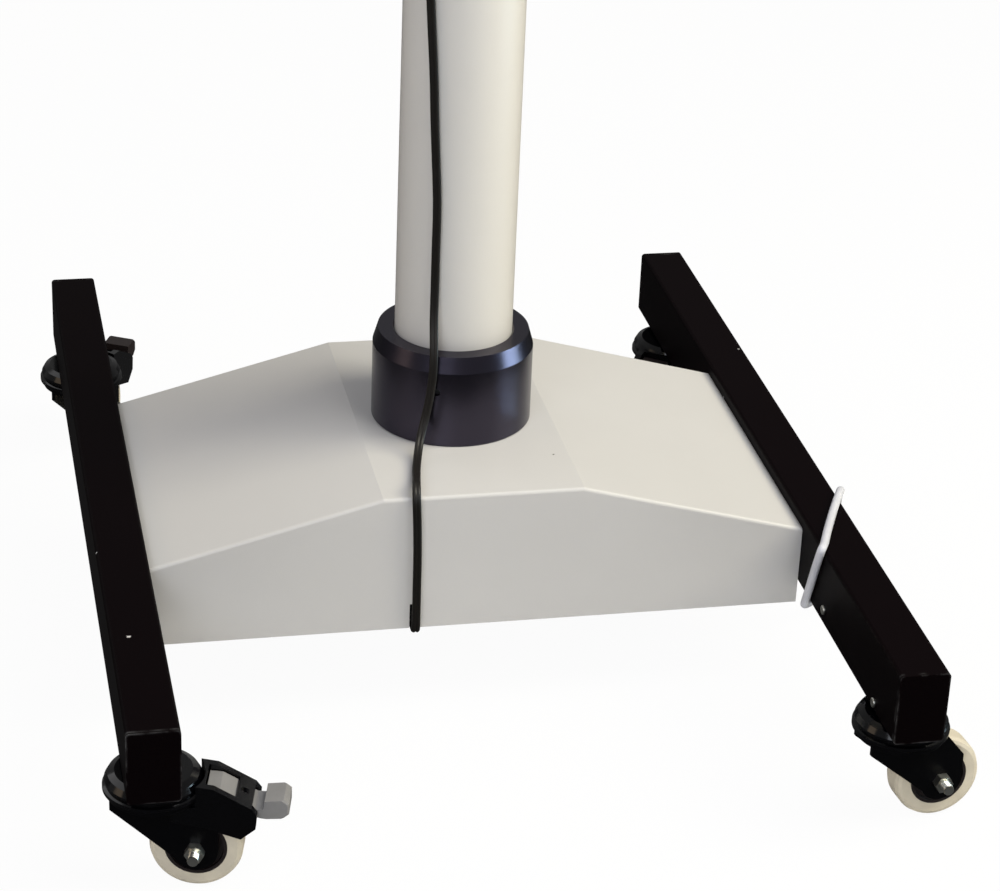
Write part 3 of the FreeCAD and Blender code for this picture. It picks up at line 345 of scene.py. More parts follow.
# %% [markdown]
# ## Nodes in code
# A material is a small graph of nodes with links between their sockets. It can be drawn by hand in
# the shader editor. Written in code it stays beside the shapes and comes out the same every time,
# and with the few helpers below a finish is about as short as the sentence that describes it.

# %% Define the node helpers


def rgb(red, green, blue):
    """A colour with full opacity."""
    return (red, green, blue, 1.0)


def feed(tree, socket, value):
    """Gives an input socket another node's output, or a plain value."""
    if isinstance(value, bpy.types.NodeSocket):
        tree.links.new(value, socket)
    else:
        socket.default_value = value


def add(tree, kind, options=None, **inputs):
    """One shader node: options are its settings, and inputs its sockets by name."""
    node = tree.nodes.new("ShaderNode" + kind)
    for key, value in (options or {}).items():
        setattr(node, key, value)
    for key, value in inputs.items():
        feed(tree, node.inputs[key.replace("_", " ")], value)
    return node


def calc(tree, operation, *values, clamp=False):
    """A Math node's result for one, two or three values."""
    node = add(tree, "Math", {"operation": operation, "use_clamp": clamp})
    for socket, value in zip(node.inputs, values):
        feed(tree, socket, value)
    return node.outputs[0]


def blank_material(name):
    """A material with an empty node tree and its output node."""
    material = bpy.data.materials.new(name)
    material.use_nodes = True
    material.node_tree.nodes.clear()
    return material, material.node_tree, add(material.node_tree, "OutputMaterial")


def ray_kinds(tree):
    """Two shares: 1 for rays straight from the camera or through glass, and 1 for mirror rays."""
    path = add(tree, "LightPath")
    direct = calc(tree, "MAXIMUM", path.outputs["Is Camera Ray"], path.outputs["Is Transmission Ray"])
    mirror = calc(tree, "SUBTRACT", path.outputs["Is Glossy Ray"], direct, clamp=True)
    return direct, mirror


# %% [markdown]
# ## The floor
# The photograph is cut out on white, so the floor is plain and almost white to the camera, and
# keeps only a soft shadow. More light would whiten a grey floor too, but it would bleach the
# object, so instead the floor glows for rays that come straight from the camera. Mirror rays see a
# dark floor, as they would in a room, which keeps the black paint black.

# %% Make the floor
scene = bpy.context.scene
scene.view_settings.view_transform = "Standard"
floor_reach = 9.0
floor_mesh = bpy.data.meshes.new("floor")
floor_mesh.from_pydata([(-floor_reach, -floor_reach, 0), (floor_reach, -floor_reach, 0),
                        (floor_reach, floor_reach, 0), (-floor_reach, floor_reach, 0)], [], [(0, 1, 2, 3)])
floor = bpy.data.objects.new("floor", floor_mesh)
scene.collection.objects.link(floor)

floor_glow = 0.96
mirror_floor = 0.07
floor_material, tree, out = blank_material("plain_floor")
plain = add(tree, "BsdfDiffuse", Color=rgb(0.80, 0.80, 0.80))
direct, mirror = ray_kinds(tree)
strength = calc(tree, "ADD", direct, calc(tree, "MULTIPLY", mirror, mirror_floor))
glow = add(tree, "Emission", Color=rgb(1.0, 1.0, 1.0), Strength=strength)
share = calc(tree, "ADD", calc(tree, "MULTIPLY", direct, floor_glow), mirror)
mixed = add(tree, "MixShader", Fac=share)
feed(tree, mixed.inputs[1], plain.outputs[0])
feed(tree, mixed.inputs[2], glow.outputs[0])
feed(tree, out.inputs["Surface"], mixed.outputs[0])
floor_mesh.materials.append(floor_material)
print("floor", 2 * floor_reach, "m wide")

# %% [markdown]
# ## The sky
# The sky is white to the camera too. What lights the object is far weaker, and mirror rays see
# something between the two, as a pale room would look in the glossy paint.

# %% Make the sky
sky_strength = 0.10
mirror_sky = 0.26
world = bpy.data.worlds.new("pale_room")
world.use_nodes = True
scene.world = world
tree = world.node_tree
tree.nodes.clear()
direct, mirror = ray_kinds(tree)
light = add(tree, "Background", Color=rgb(0.97, 0.985, 1.0), Strength=sky_strength)
strength = calc(tree, "ADD", direct, calc(tree, "MULTIPLY", mirror, mirror_sky))
seen = add(tree, "Background", Color=rgb(1.0, 1.0, 1.0), Strength=strength)
mixed = add(tree, "MixShader", Fac=calc(tree, "ADD", direct, mirror))
feed(tree, mixed.inputs[1], light.outputs[0])
feed(tree, mixed.inputs[2], seen.outputs[0])
feed(tree, add(tree, "OutputWorld").inputs["Surface"], mixed.outputs[0])
print("sky", sky_strength, "in mirrors", mirror_sky)

# %% [markdown]
# ## The lamps
# The column is warm and bright along its right edge and cooler towards the left, with a faint warm
# edge there. So a large warm lamp stands on the right, a neutral one above, a cooler one at the
# front left, a fill at the back, and a weak warm one low on the left. The low blue-white one at the
# right is seen only by shiny things: it draws the streaks on the collar and the castor hoods.

# %% Make the lamps


def lamp(name, place, target, size, watts, colour):
    """A square area lamp aimed from one place at another."""
    data = bpy.data.lights.new(name, "AREA")
    data.size = size
    data.energy = watts
    data.color = colour
    holder = bpy.data.objects.new(name, data)
    scene.collection.objects.link(holder)
    holder.location = place
    holder.rotation_euler = (Vector(target) - Vector(place)).to_track_quat("-Z", "Y").to_euler()
    return holder


lamp("lamp_right", (2.3, -0.7, 2.3), (0.0, 0.0, 0.3), 1.5, 70.0, (1.0, 0.93, 0.72))
lamp("lamp_above", (1.0, -1.0, 3.0), (0.0, 0.0, 0.3), 1.6, 54.0, (1.0, 0.99, 0.97))
lamp("lamp_front", (-1.3, -2.8, 2.0), (0.0, 0.0, 0.3), 1.8, 41.0, (0.87, 0.91, 1.0))
lamp("lamp_back", (-1.8, 1.6, 2.4), (0.0, 0.0, 0.5), 1.8, 13.0, (0.98, 0.98, 1.0))
lamp("lamp_left", (-2.6, -0.3, 0.9), (0.0, 0.0, 0.45), 1.0, 5.5, (1.0, 0.76, 0.52))
window = lamp("lamp_window", (2.50, -0.45, 0.30), (0.0, 0.0, 0.25), 1.3, 30.0, (0.62, 0.85, 1.0))
window.data.shape = "RECTANGLE"
window.data.size_y = 0.42
window.visible_diffuse = False
print("lamps", [(light.name, light.energy) for light in bpy.data.lights])

# %% [markdown]
# ## Effects that several finishes share
# Paint, plate and mouldings share a few effects: the slight ripple of sprayed paint, the fine
# lines that a lathe leaves, bright rubbed edges, which on the black legs are partly a painted
# highlight, uneven dust, and small chips. Each could be repeated in every material. As a node group
# it is built once, and each finish gives it its own numbers.

# %% Define node groups


def new_group(name, inputs, outputs):
    """An empty node group with the given input and output sockets, and its two end nodes."""
    tree = bpy.data.node_groups.new(name, "ShaderNodeTree")
    kinds = {"float": "NodeSocketFloat", "vector": "NodeSocketVector"}
    for label, kind, value in inputs:
        socket = tree.interface.new_socket(label, in_out="INPUT", socket_type=kinds[kind])
        socket.default_value = value
    for label, kind in outputs:
        tree.interface.new_socket(label, in_out="OUTPUT", socket_type=kinds[kind])
    return tree, tree.nodes.new("NodeGroupInput").outputs, tree.nodes.new("NodeGroupOutput").inputs


def noise(tree, vector, scale, detail, roughness):
    """Smooth noise of a given number of waves per metre."""
    node = add(tree, "TexNoise", Vector=vector, Scale=scale, Detail=detail, Roughness=roughness)
    return node.outputs["Fac"]


def between(tree, value, low, high):
    """A value taken from the span low to high onto 0 to 1, and kept there."""
    node = add(tree, "MapRange", {"clamp": True}, Value=value)
    feed(tree, node.inputs["From Min"], low)
    feed(tree, node.inputs["From Max"], high)
    return node.outputs["Result"]


def object_place(tree):
    """The place on the piece, in metres in the object's frame."""
    return add(tree, "TexCoord").outputs["Object"]


# %% Build the ripple and the lathe lines
ripple_group, given, result = new_group(
    "sprayed_ripple", [("Waves", "float", 400.0)], [("Height", "float")])
fine = noise(ripple_group, object_place(ripple_group), given["Waves"], 3.0, 0.55)
feed(ripple_group, result["Height"], fine)

# The lines circle the centre: their pattern depends on the distance from the axis plus the height.
lathe_group, given, result = new_group(
    "lathe_lines", [("Centre", "vector", (0.0, 0.0, 0.0)), ("Lines", "float", 2500.0)],
    [("Height", "float")])
local = add(lathe_group, "VectorMath", {"operation": "SUBTRACT"})
feed(lathe_group, local.inputs[0], object_place(lathe_group))
feed(lathe_group, local.inputs[1], given["Centre"])
parted = add(lathe_group, "SeparateXYZ", Vector=local.outputs[0])
squares = [calc(lathe_group, "POWER", parted.outputs[letter], 2.0) for letter in "XY"]
from_axis = calc(lathe_group, "SQRT", calc(lathe_group, "ADD", *squares))
step = calc(lathe_group, "ADD", from_axis, parted.outputs["Z"])
line = add(lathe_group, "TexNoise", {"noise_dimensions": "1D"}, W=step, Scale=given["Lines"], Detail=3.0)
feed(lathe_group, result["Height"], line.outputs["Fac"])

# %% Build the edge mask for rubbed edges and painted highlights
# A normal taken over a small radius leans away from the true one only near an edge.
edge_wear_and_highlight_group, given, result = new_group(
    "edge_wear_and_highlight", [("Width", "float", 0.0015), ("Patchiness", "float", 0.5)], [("Mask", "float")])
rounded = add(edge_wear_and_highlight_group, "Bevel", {"samples": 6}, Radius=given["Width"])
faced = add(edge_wear_and_highlight_group, "NewGeometry")
facing = add(edge_wear_and_highlight_group, "VectorMath", {"operation": "DOT_PRODUCT"})
feed(edge_wear_and_highlight_group, facing.inputs[0], rounded.outputs[0])
feed(edge_wear_and_highlight_group, facing.inputs[1], faced.outputs["Normal"])
edge = between(edge_wear_and_highlight_group, facing.outputs["Value"], 0.985, 0.86)
patch = noise(edge_wear_and_highlight_group, object_place(edge_wear_and_highlight_group), 60.0, 4.0, 0.6)
patch = between(edge_wear_and_highlight_group, patch, calc(edge_wear_and_highlight_group, "MULTIPLY", given["Patchiness"], 0.9), 0.75)
feed(edge_wear_and_highlight_group, result["Mask"], calc(edge_wear_and_highlight_group, "MULTIPLY", edge, patch, clamp=True))

# %% Build the dust and the chips
dust_group, given, result = new_group(
    "uneven_dust", [("Waves", "float", 9.0), ("Cover", "float", 0.5)], [("Mask", "float")])
cloud = noise(dust_group, object_place(dust_group), given["Waves"], 6.0, 0.62)
low_end = calc(dust_group, "SUBTRACT", 0.8, given["Cover"])
feed(dust_group, result["Mask"], between(dust_group, cloud, low_end, 0.8))

# A chip is where the distance from its place, made uneven by noise, stays under its size.
chip_group, given, result = new_group(
    "small_chip", [("Place", "vector", (0.0, 0.0, 0.0)), ("Size", "float", 0.002)], [("Mask", "float")])
apart = add(chip_group, "VectorMath", {"operation": "DISTANCE"})
feed(chip_group, apart.inputs[0], object_place(chip_group))
feed(chip_group, apart.inputs[1], given["Place"])
uneven = noise(chip_group, object_place(chip_group), 900.0, 2.0, 0.5)
ragged = calc(chip_group, "MULTIPLY", uneven, given["Size"])
reach = calc(chip_group, "SUBTRACT", calc(chip_group, "ADD", apart.outputs["Value"], ragged), given["Size"])
feed(chip_group, result["Mask"], between(chip_group, reach, 0.0005, -0.0003))
print("node groups", [group.name for group in bpy.data.node_groups])

# %% Define how a finish uses the effects


def effect(tree, group, output, **values):
    """Places a shared effect in a material with its own values, and gives one of its results."""
    node = tree.nodes.new("ShaderNodeGroup")
    node.node_tree = group
    for key, value in values.items():
        feed(tree, node.inputs[key], value)
    return node.outputs[output]


def tint(tree, share, first, second):
    """Two colours mixed by a share from 0 to 1."""
    node = add(tree, "Mix", {"data_type": "RGBA", "clamp_factor": True})
    feed(tree, node.inputs[0], share)
    feed(tree, node.inputs[6], first)
    feed(tree, node.inputs[7], second)
    return node.outputs[2]


def finish_surface(tree, out, colour, roughness, height, bump, depth):
    """One Principled surface. The bump's height is in units of depth metres."""
    surface = add(tree, "BsdfPrincipled")
    feed(tree, surface.inputs["Base Color"], colour)
    feed(tree, surface.inputs["Roughness"], roughness)
    raised = add(tree, "Bump", Height=height, Strength=bump, Distance=depth)
    feed(tree, surface.inputs["Normal"], raised.outputs[0])
    feed(tree, out.inputs["Surface"], surface.outputs[0])
    return surface


# %% [markdown]
# ## Paints
# The cover and the column are stove-enamelled: hard and glossy, with a slight ripple, and on the
# cover faint grey smears of dust. The legs are the same paint in black, where chips down to the
# primer show up white, and a light line along their edges is partly rubbed paint and partly a
# painted highlight. An even colour would look like plastic, so the colour, the gloss and the height
# each vary a little, and each by its own noise.

# %% Define the paints


def paint(name, colour, roughness, edge_strength, dust, edge_colour=(0.5, 0.5, 0.5), chips=(), shade=0.08,
          specular=0.5, edge_width=0.0015):
    """Glossy paint. The colour is darkened a little in clouds, dusted, and made lighter along its
    edges, where the paint is rubbed, and on the legs partly as a painted highlight. Each chip is a
    place from the column's axis in metres, a size and a colour."""
    material, tree, out = blank_material(name)
    place = object_place(tree)
    cloud = between(tree, noise(tree, place, 5.0, 4.0, 0.6), 0.35, 0.7)
    deeper = tuple(part * (1.0 - shade) for part in colour)
    base = tint(tree, cloud, rgb(*colour), rgb(*deeper))
    dusty = effect(tree, dust_group, "Mask", Waves=14.0, Cover=0.35)
    grey = tuple(part * 0.8 + 0.06 for part in colour)
    base = tint(tree, calc(tree, "MULTIPLY", dusty, dust), base, rgb(*grey))
    # A lighter line along the edges: rubbed paint, and on the legs partly a painted highlight.
    rubbed = effect(tree, edge_wear_and_highlight_group, "Mask", Width=edge_width, Patchiness=0.5)
    base = tint(tree, calc(tree, "MULTIPLY", rubbed, edge_strength), base, rgb(*edge_colour))
    for spot, size, tone in chips:
        mark = effect(tree, chip_group, "Mask", Place=tuple(column + np.array(spot)), Size=size)
        base = tint(tree, mark, base, rgb(*tone))
    smear = between(tree, noise(tree, place, 12.0, 3.0, 0.5), 0.25, 0.8)
    gloss = calc(tree, "ADD", roughness, calc(tree, "MULTIPLY", smear, 0.04))
    height = effect(tree, ripple_group, "Height", Waves=350.0)
    surface = finish_surface(tree, out, base, gloss, height, bump=0.12, depth=0.0003)
    surface.inputs["Specular IOR Level"].default_value = specular
    return material


leg_chips = [((-0.2946, -0.2681, 0.156), 0.0026, (0.60, 0.58, 0.57)),
             ((-0.3085, -0.1335, 0.155), 0.0017, (0.45, 0.45, 0.45)),
             ((0.3047, 0.1761, 0.156), 0.0018, (0.45, 0.45, 0.45)),
             ((0.2690, 0.0961, 0.1473), 0.0016, (0.40, 0.40, 0.40))]
cover_chips = [((0.0696, -0.0891, 0.196), 0.0014, (0.03, 0.03, 0.03))]
# The legs' light edge line is partly rubbed paint and partly a painted highlight.
leg_paint = paint("leg_black", (0.0026, 0.0012, 0.0016), roughness=0.42, edge_strength=0.5, dust=0.0,
                  edge_colour=(0.16, 0.16, 0.165), specular=0.02, edge_width=0.0028, chips=leg_chips)
cover_paint = paint("cover_grey", (0.60, 0.590, 0.58), roughness=0.32, edge_strength=0.0, dust=0.03,
                    specular=0.3, shade=0.03, chips=cover_chips)
column_paint = paint("column_cream", (0.67, 0.655, 0.625), roughness=0.28, edge_strength=0.0, dust=0.0, shade=0.03)
arm_paint = paint("arm_cream", (0.57, 0.557, 0.52), roughness=0.28, edge_strength=0.2, dust=0.0, edge_width=0.001)
print("paints", [material.name for material in (leg_paint, cover_paint, column_paint, arm_paint)])

# %% [markdown]
# ## Mouldings and metals
# The castors, knobs, grips and cords are moulded: an even fine grain, a colour that clouds slightly,
# and paler rubbed edges. The collar is turned and blackened, so its lines circle the column, while
# the screws and axles are zinc plated. One function for each family keeps relatives looking alike.

# %% Define the mouldings and the metals


def moulding(name, colour, roughness, grain=1400.0, bump=0.15, edge_colour=None, edge_strength=0.25, specular=0.5):
    """Moulded plastic: a fine even grain, slightly paler on rubbed edges."""
    material, tree, out = blank_material(name)
    place = object_place(tree)
    cloud = between(tree, noise(tree, place, 40.0, 4.0, 0.6), 0.35, 0.7)
    base = tint(tree, cloud, rgb(*colour), rgb(*(part * 0.86 for part in colour)))
    paler = edge_colour or tuple(min(1.0, part * 1.4 + 0.04) for part in colour)
    rubbed = effect(tree, edge_wear_and_highlight_group, "Mask", Width=0.001, Patchiness=0.4)
    base = tint(tree, calc(tree, "MULTIPLY", rubbed, edge_strength), base, rgb(*paler))
    gloss = calc(tree, "ADD", roughness, calc(tree, "MULTIPLY", cloud, 0.1))
    height = effect(tree, ripple_group, "Height", Waves=grain)
    surface = finish_surface(tree, out, base, gloss, height, bump=bump, depth=0.0002)
    surface.inputs["Specular IOR Level"].default_value = specular
    return material


def metal(name, colour, roughness, lines, centre=None, bump=0.1, tarnish=0.25):
    """Bare or plated metal with fine tool lines and a little tarnish. With a centre, the lines
    circle it."""
    material, tree, out = blank_material(name)
    place = object_place(tree)
    dull = between(tree, noise(tree, place, 120.0, 5.0, 0.65), 0.4, 0.8)
    base = tint(tree, calc(tree, "MULTIPLY", dull, tarnish), rgb(*colour),
                rgb(*(part * 0.45 for part in colour)))
    gloss = calc(tree, "ADD", roughness, calc(tree, "MULTIPLY", dull, 0.7 * tarnish))
    if centre is None:
        height = effect(tree, ripple_group, "Height", Waves=lines)
    else:
        height = effect(tree, lathe_group, "Height", Centre=centre, Lines=lines)
    surface = finish_surface(tree, out, base, gloss, height, bump=bump, depth=0.0002)
    surface.inputs["Metallic"].default_value = 1.0
    return material


collar_black = metal("collar_turned", (0.055, 0.050, 0.070), roughness=0.27, lines=1800.0,
                     centre=tuple(column), bump=0.08, tarnish=0.0)
arm_black = moulding("arm_anodised", (0.020, 0.020, 0.024), roughness=0.38, grain=900.0)
zinc = metal("zinc_plate", (0.60, 0.60, 0.55), roughness=0.30, lines=900.0)
steel = metal("bare_steel", (0.50, 0.50, 0.50), roughness=0.34, lines=700.0)
hood_black = moulding("hood_gloss", (0.0010, 0.0010, 0.0016), roughness=0.10, grain=300.0, bump=0.05,
                      edge_colour=(0.02, 0.02, 0.022), edge_strength=0.1, specular=0.3)
fork_black = moulding("fork_enamel", (0.0020, 0.0020, 0.0026), roughness=0.28, grain=500.0, bump=0.08,
                      edge_colour=(0.02, 0.02, 0.022), edge_strength=0.12, specular=0.08)
nylon = moulding("wheel_nylon", (0.66, 0.60, 0.48), roughness=0.42, grain=600.0, bump=0.1)
hub_black_and_pedal_shade = moulding("hub_moulding_and_pedal_shade", (0.016, 0.010, 0.010), roughness=0.4)
lever_grey = moulding("lever_moulding", (0.24, 0.235, 0.235), roughness=0.36)
knob_black = moulding("knob_moulding", (0.018, 0.018, 0.020), roughness=0.42)
optic_black = moulding("optic_anodised", (0.016, 0.016, 0.019), roughness=0.32, grain=1800.0)
case_cream = moulding("case_moulding", (0.54, 0.52, 0.47), roughness=0.5, grain=1100.0, bump=0.3)
grip_rubber = moulding("grip_rubber", (0.022, 0.022, 0.024), roughness=0.62, grain=800.0, bump=0.3)
cord_black = moulding("cord_sleeve", (0.0085, 0.0070, 0.0055), roughness=0.42, grain=500.0, bump=0.1,
                      edge_colour=(0.02, 0.018, 0.015), specular=0.3)
lead_white = moulding("lead_sleeve", (0.64, 0.65, 0.71), roughness=0.40, grain=500.0, bump=0.1)
print("materials so far", len(bpy.data.materials))

# %% [markdown]
# ## Which finish each piece gets
# The imported nodes come with a plain colour each. Here each one gets its finish instead. The pedal
# at the front left is grey, and the same pedals at the rear get the hubs' black as painted shade for
# the shadow they lie in.

# %% Dress the imported nodes
places = ["front_left", "front_right", "rear_left", "rear_right"]
braked = [place for place in places if "brake_lever_" + place in nodes]


def dress(material, *names):
    """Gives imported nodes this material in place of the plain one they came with."""
    for name in names:
        mesh = nodes[name].data
        mesh.materials.clear()
        mesh.materials.append(material)


def every(stem, where=places):
    """The names of one kind of node at several castors."""
    return [stem + "_" + place for place in where]


dress(leg_paint, "leg_left", "leg_right", "leg_end_caps", "cross_beams")
dress(steel, "foot_plate", "column_bearing")
dress(cover_paint, "base_cover")
dress(column_paint, "column_tube")
dress(collar_black, "collar")
dress(zinc, "base_screws", "castor_stems", *every("castor_axle"))
dress(knob_black, "column_gland", "base_glands", "dimmer_knob", "swing_lock_knob", "focus_ring",
      "magnification_knobs")
dress(hood_black, *every("castor_hood"), *every("brake_housing", braked))
dress(fork_black, *every("castor_fork"))
dress(nylon, *every("castor_wheel"))
# The rear pedals take the hubs' black: painted shade on what is the same grey pedal as at the front.
dress(hub_black_and_pedal_shade, *every("castor_hub"), *every("brake_lever", braked[1:]))
dress(lever_grey, "brake_lever_" + braked[0])
dress(arm_paint, "swing_arm", "elbow_block", "balance_upper_link", "end_block", "head_yoke",
      "microscope_body", "binocular_housing")
dress(arm_black, "balance_lower_link")
dress(case_cream, "control_box")
dress(optic_black, "objective_barrel", "eyepieces")
dress(grip_rubber, "handles")
dress(lead_white, "mains_plug")
column_cord.data.materials.append(cord_black)
mains_lead.data.materials.append(lead_white)
print("pedals", braked)

# %% [markdown]
# ## The objective's glass
# The lens is coated, so it has a faint blue cast. Its gloss needs no pattern: clean glass is even.

# %% Make the glass
lens_glass, tree, out = blank_material("coated_lens")
surface = add(tree, "BsdfPrincipled")
surface.inputs["Base Color"].default_value = rgb(0.55, 0.60, 0.80)
surface.inputs["Roughness"].default_value = 0.03
surface.inputs["Transmission Weight"].default_value = 1.0
surface.inputs["IOR"].default_value = 1.52
feed(tree, out.inputs["Surface"], surface.outputs[0])
dress(lens_glass, "objective_lens")
print("materials", len(bpy.data.materials))

# %% [markdown]
# ## Small trim
# The drawing leaves out what is too small to carry load: boots on the cords, screw heads, cover
# plates, a switch, tick marks and threads. They could be cut into the big pieces with booleans, but
# separate turned shapes and soft-edged plates stay clean, and they are gathered into one mesh for
# each body and material.

# %% Define turned shapes and soft-edged plates
X, Y, Z = np.eye(3)
sides = (-1, 1)


def turned_points(profile, place, way, around=28):
    """Points and faces of a turned shape. Each (along, radius) pair of the profile becomes a ring:
    place + along * way + radius * (cos * side + sin * over). The two ends close on the axis."""
    profile = np.array(profile, float)
    way = np.asarray(way, float) / np.linalg.norm(way)
    side = np.cross(way, Z if abs(way[2]) < 0.8 else X)
    side /= np.linalg.norm(side)
    circle = round_section(1.0, around)
    spokes = circle[:, :1] * side + circle[:, 1:] * np.cross(way, side)
    axis = np.asarray(place) + profile[:, :1] * way
    rings = axis[:, None] + profile[:, 1, None, None] * spokes
    points = np.concatenate([rings.reshape(-1, 3), axis[:1], axis[-1:]])
    return points, tube_faces(len(profile), around)


def plate_points(place, along, out, length, width, thick, radius, edge=0.0006):
    """Points and faces of a flat plate with round corners and a soft upper edge. The outline is the
    four corner arcs: corner centre + radius * (cos, sin). It is drawn in by edge at the top."""
    across = np.cross(out, along)
    steps = 5
    angle = np.linspace(0, np.pi / 2, steps)
    arcs = np.concatenate([angle + quarter * np.pi / 2 for quarter in range(4)])
    corners = np.repeat([(1, 1), (-1, 1), (-1, -1), (1, -1)], steps, axis=0)
    rings = []
    for rise, inset in ((0.0, 0.0), (thick - edge, 0.0), (thick - 0.3 * edge, 0.3 * edge), (thick, edge)):
        arc = (radius - inset) * np.stack([np.cos(arcs), np.sin(arcs)], 1)
        flat = corners * (np.array([length, width]) / 2 - radius) + arc
        rings.append(place + flat[:, :1] * along + flat[:, 1:] * across + rise * out)
    around = len(arcs)
    top = (len(rings) - 1) * around
    faces = ring_faces(len(rings), around)
    faces.append(list(range(around))[::-1])
    faces.append([top + j for j in range(around)])
    return np.concatenate(rings), faces


def trim(name, parts, body, material):
    """Joins several (points, faces) pairs into one piece that rides on a body."""
    points, faces, start = [], [], 0
    for some_points, some_faces in parts:
        points.append(some_points)
        faces += [[start + index for index in face] for face in some_faces]
        start += len(some_points)
    piece = put_mesh(name, np.concatenate(points), faces)
    piece.data.set_sharp_from_angle(angle=math.radians(35.0))
    piece.data.materials.append(material)
    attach(piece, body)
    print(name, "has", len(faces), "faces on", body)


# %% [markdown]
# ## Boots, threads and castor trim
# Each cord leaves its gland through a tapered boot with shallow ribs: the radius falls from the root
# to the tip, and a cosine takes a little off at each groove. The axles end in a rolled thread, and
# the collar's screw has a thin black disc on its end, painted shade for the dark of its socket. These
# are small, but the eye looks for them where parts meet.

# %% Make the boots


def boot(name, path, length, root, tip, grooves, material):
    """A ribbed sleeve over the first stretch of a cord's path."""
    share = np.linspace(0, 1, 8 * grooves + 1)
    along = distance_along(path)
    line = np.stack([np.interp(share * length, along, path[:, k]) for k in range(3)], 1)
    ribs = 0.0007 * np.clip(np.cos(2 * np.pi * grooves * share) * 1.6, -1, 1)
    radius = root + (tip - root) * share + np.where(share < 1.0, ribs, 0.0)
    sections = radius[:, None, None] * round_section(1.0, 24)
    piece = swept(name, line, sections, carried_side(line, (0.3, 0.5, 0.8)))
    piece.data.materials.append(material)
    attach(piece, "stand")
    print(name, length, "m long")


boot("boot_lead", lead_path, 0.032, 0.0070, 0.0046, 6, lead_white)
boot("boot_column_low", column_path, 0.022, 0.0062, 0.0045, 4, cord_black)
boot("boot_column_high", column_path[::-1], 0.034, 0.0068, 0.0046, 6, cord_black)

# %% Make the screw socket's painted shade and the threads
screw_angle = math.radians(-111.6)
screw_way = np.array([math.cos(screw_angle), math.sin(screw_angle), 0.0])
socket_place = at(0, 0, 245) + 0.0631 * screw_way
# A thin black disc on the screw's end: painted shade for the dark of its socket.
socket = turned_points([(0.0, 0.0028), (0.0006, 0.0028), (0.0007, 0.0012)], socket_place, screw_way)
trim("collar_screw_socket_shade", [socket], "stand", knob_black)

# Each castor has the place of its swivel in millimetres and the turn of its trail in degrees. The
# trail points from the swivel to the wheel, and the axle lies across it.
castors = {"front_left": (-289.0, -355.0, -13.0), "front_right": (289.0, -355.0, 6.0),
           "rear_left": (-289.0, 342.0, 62.0), "rear_right": (289.0, 342.0, 235.0)}
castor_trail = 0.036
nut_face = 0.0237
axle_height = 35.0
thread_pitch = 0.00125
root_radius = 0.00405
crest_radius = 0.0044
thread = [(0.0, root_radius)]
for i in range(6):
    thread += [(0.0003 + thread_pitch * i, crest_radius), (0.0009 + thread_pitch * i, root_radius)]
thread.append((0.0079, root_radius))
for place, (x, y, turn) in castors.items():
    turn = math.radians(turn)
    trail = np.array([math.cos(turn), math.sin(turn), 0.0])
    axle = np.array([math.sin(turn), -math.cos(turn), 0.0])
    start = at(x, y, axle_height) + castor_trail * trail + nut_face * axle
    trim("axle_thread_" + place, [turned_points(thread, start, axle, 20)], "castor_" + place, zinc)

# %% [markdown]
# ## The balance arm
# Everything from here stands above the photograph's edge, so it follows stands of the same kind. The
# arm's four pivots end in domed caps, and a long screwed plate covers each side of its upper link.

# %% Dress the balance arm
screw_head = [(0.0, 0.0024), (0.0016, 0.0025), (0.0021, 0.0021), (0.0021, 0.0012), (0.0010, 0.0011)]
domed_cap = [(0.0, 0.0100), (0.0036, 0.0100), (0.0054, 0.0088), (0.0064, 0.0060), (0.0067, 0.0)]
lower_link = 1352.3
upper_link = 1412.3
block_face = 34.0
link_face = 21.0
for body, y in {"elbow": 340.0, "end_block": -220.0}.items():
    parts = [turned_points(domed_cap, at(side * block_face, y, z), side * X)
             for side in sides for z in (lower_link, upper_link)]
    trim("pivot_caps_" + body, parts, body, knob_black)

covers = [plate_points(at(side * link_face, 60.0, upper_link), Y, side * X,
                       length=0.400, width=0.034, thick=0.0014, radius=0.008) for side in sides]
trim("link_covers", covers, "balance_arm", arm_black)
screws = [turned_points(screw_head, at(side * (link_face + 1.4), y, upper_link), side * X)
          for side in sides for y in (-130.0, 60.0, 250.0)]
trim("link_cover_screws", screws, "balance_arm", zinc)

# %% [markdown]
# ## The backs of the head and the lamp box
# Both get warm inside, so both have a stack of level louvres between four screws. A louvre is a bar
# a few tenths of a millimetre high, black as painted shade for the dark inside of a slot: raised and
# black it reads as a slot, and nothing has to be cut.

# %% Dress the head and the lamp box


def louvres(face, lowest, gap, count, length, width, thick, radius):
    """Level bars on a face that looks along +Y, one above the other."""
    return [plate_points(at(0.0, face, lowest + gap * i), X, Y, length, width, thick, radius, edge=0.0002)
            for i in range(count)]


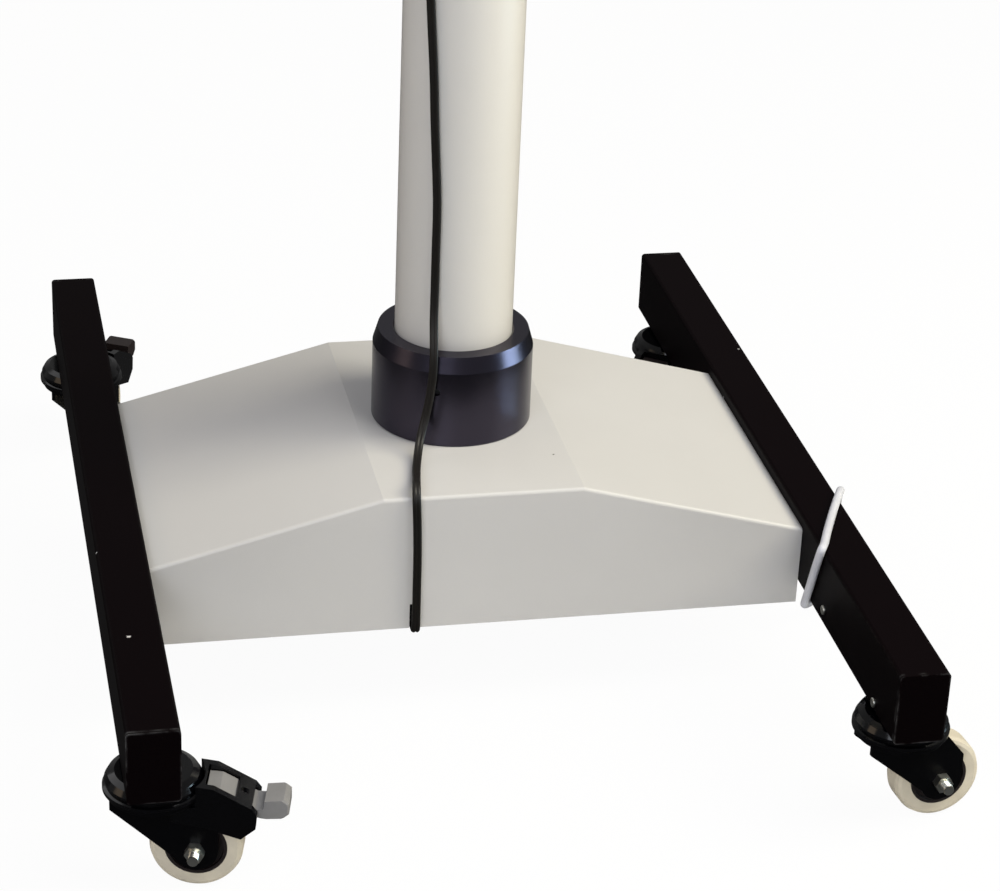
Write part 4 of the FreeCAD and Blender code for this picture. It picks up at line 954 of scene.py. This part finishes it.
back_face = -172.0
plate_face = -170.4
back = plate_points(at(0.0, back_face, 1142.0), X, Y, length=0.096, width=0.094, thick=0.0016, radius=0.007)
trim("head_back_cover", [back], "head", arm_black)
screws = [turned_points(screw_head, at(side * 40.0, plate_face, z), Y)
          for side in sides for z in (1103.0, 1181.0)]
trim("head_back_screws", screws, "head", zinc)
# Black bars: painted shade for the dark inside of each slot.
slot_shade_bars = louvres(plate_face, 1120.0, 6.0, 8, length=0.052, width=0.0026, thick=0.0005, radius=0.0012)
trim("head_back_slot_shade_bars", slot_shade_bars, "head", hood_black)

box_back = 288.0
# Black bars: painted shade for the dark inside of each slot.
slot_shade_bars = louvres(box_back, 1042.0, 7.0, 7, length=0.060, width=0.0030, thick=0.0006, radius=0.0014)
trim("lamp_box_slot_shade_bars", slot_shade_bars, "swing_arm", hood_black)
screws = [turned_points(screw_head, at(side * 42.0, box_back, z), Y)
          for side in sides for z in (1036.0, 1096.0)]
trim("lamp_box_screws", screws, "swing_arm", zinc)

# %% [markdown]
# ## The control box's side and the knobs
# A rocker switch sits in a frame beside the dimmer, whose range is marked by eleven ticks over 270
# degrees, the first, middle and last of them longer. Each magnification knob has a light line, by
# which its turn can be read.

# %% Dress the control box and the knobs
box_side = -50.0
box_middle = 1066.75
switch_y = 232.0
dimmer_y = 152.0
tick_circle = 0.0225
frame_and_ticks = [plate_points(at(box_side, switch_y, box_middle), Z, -X,
                                length=0.032, width=0.026, thick=0.0022, radius=0.003)]
for i in range(11):
    angle = math.radians(225.0 - 27.0 * i)
    ray = np.array([0.0, math.cos(angle), math.sin(angle)])
    centre = at(box_side, dimmer_y, box_middle) + tick_circle * ray
    tick_length = 0.005 if i % 5 == 0 else 0.003
    frame_and_ticks.append(plate_points(centre, ray, -X, tick_length, width=0.0009, thick=0.0003,
                                        radius=0.0004, edge=0.0001))
trim("switch_frame_and_ticks", frame_and_ticks, "swing_arm", knob_black)

rocker_lean = 0.16
lean = np.array([-math.cos(rocker_lean), 0.0, math.sin(rocker_lean)])
rocker = plate_points(at(box_side - 1.2, switch_y, box_middle), np.cross(Y, lean), lean,
                      length=0.024, width=0.018, thick=0.0032, radius=0.002, edge=0.001)
trim("rocker_switch", [rocker], "swing_arm", lever_grey)

knob_face = 77.3
marks = [plate_points(at(side * knob_face, -206.0, 1133.0), Z, side * X, length=0.010, width=0.0014,
                      thick=0.0004, radius=0.0006, edge=0.0001) for side in sides]
trim("drum_marks", marks, "drum", lead_white)
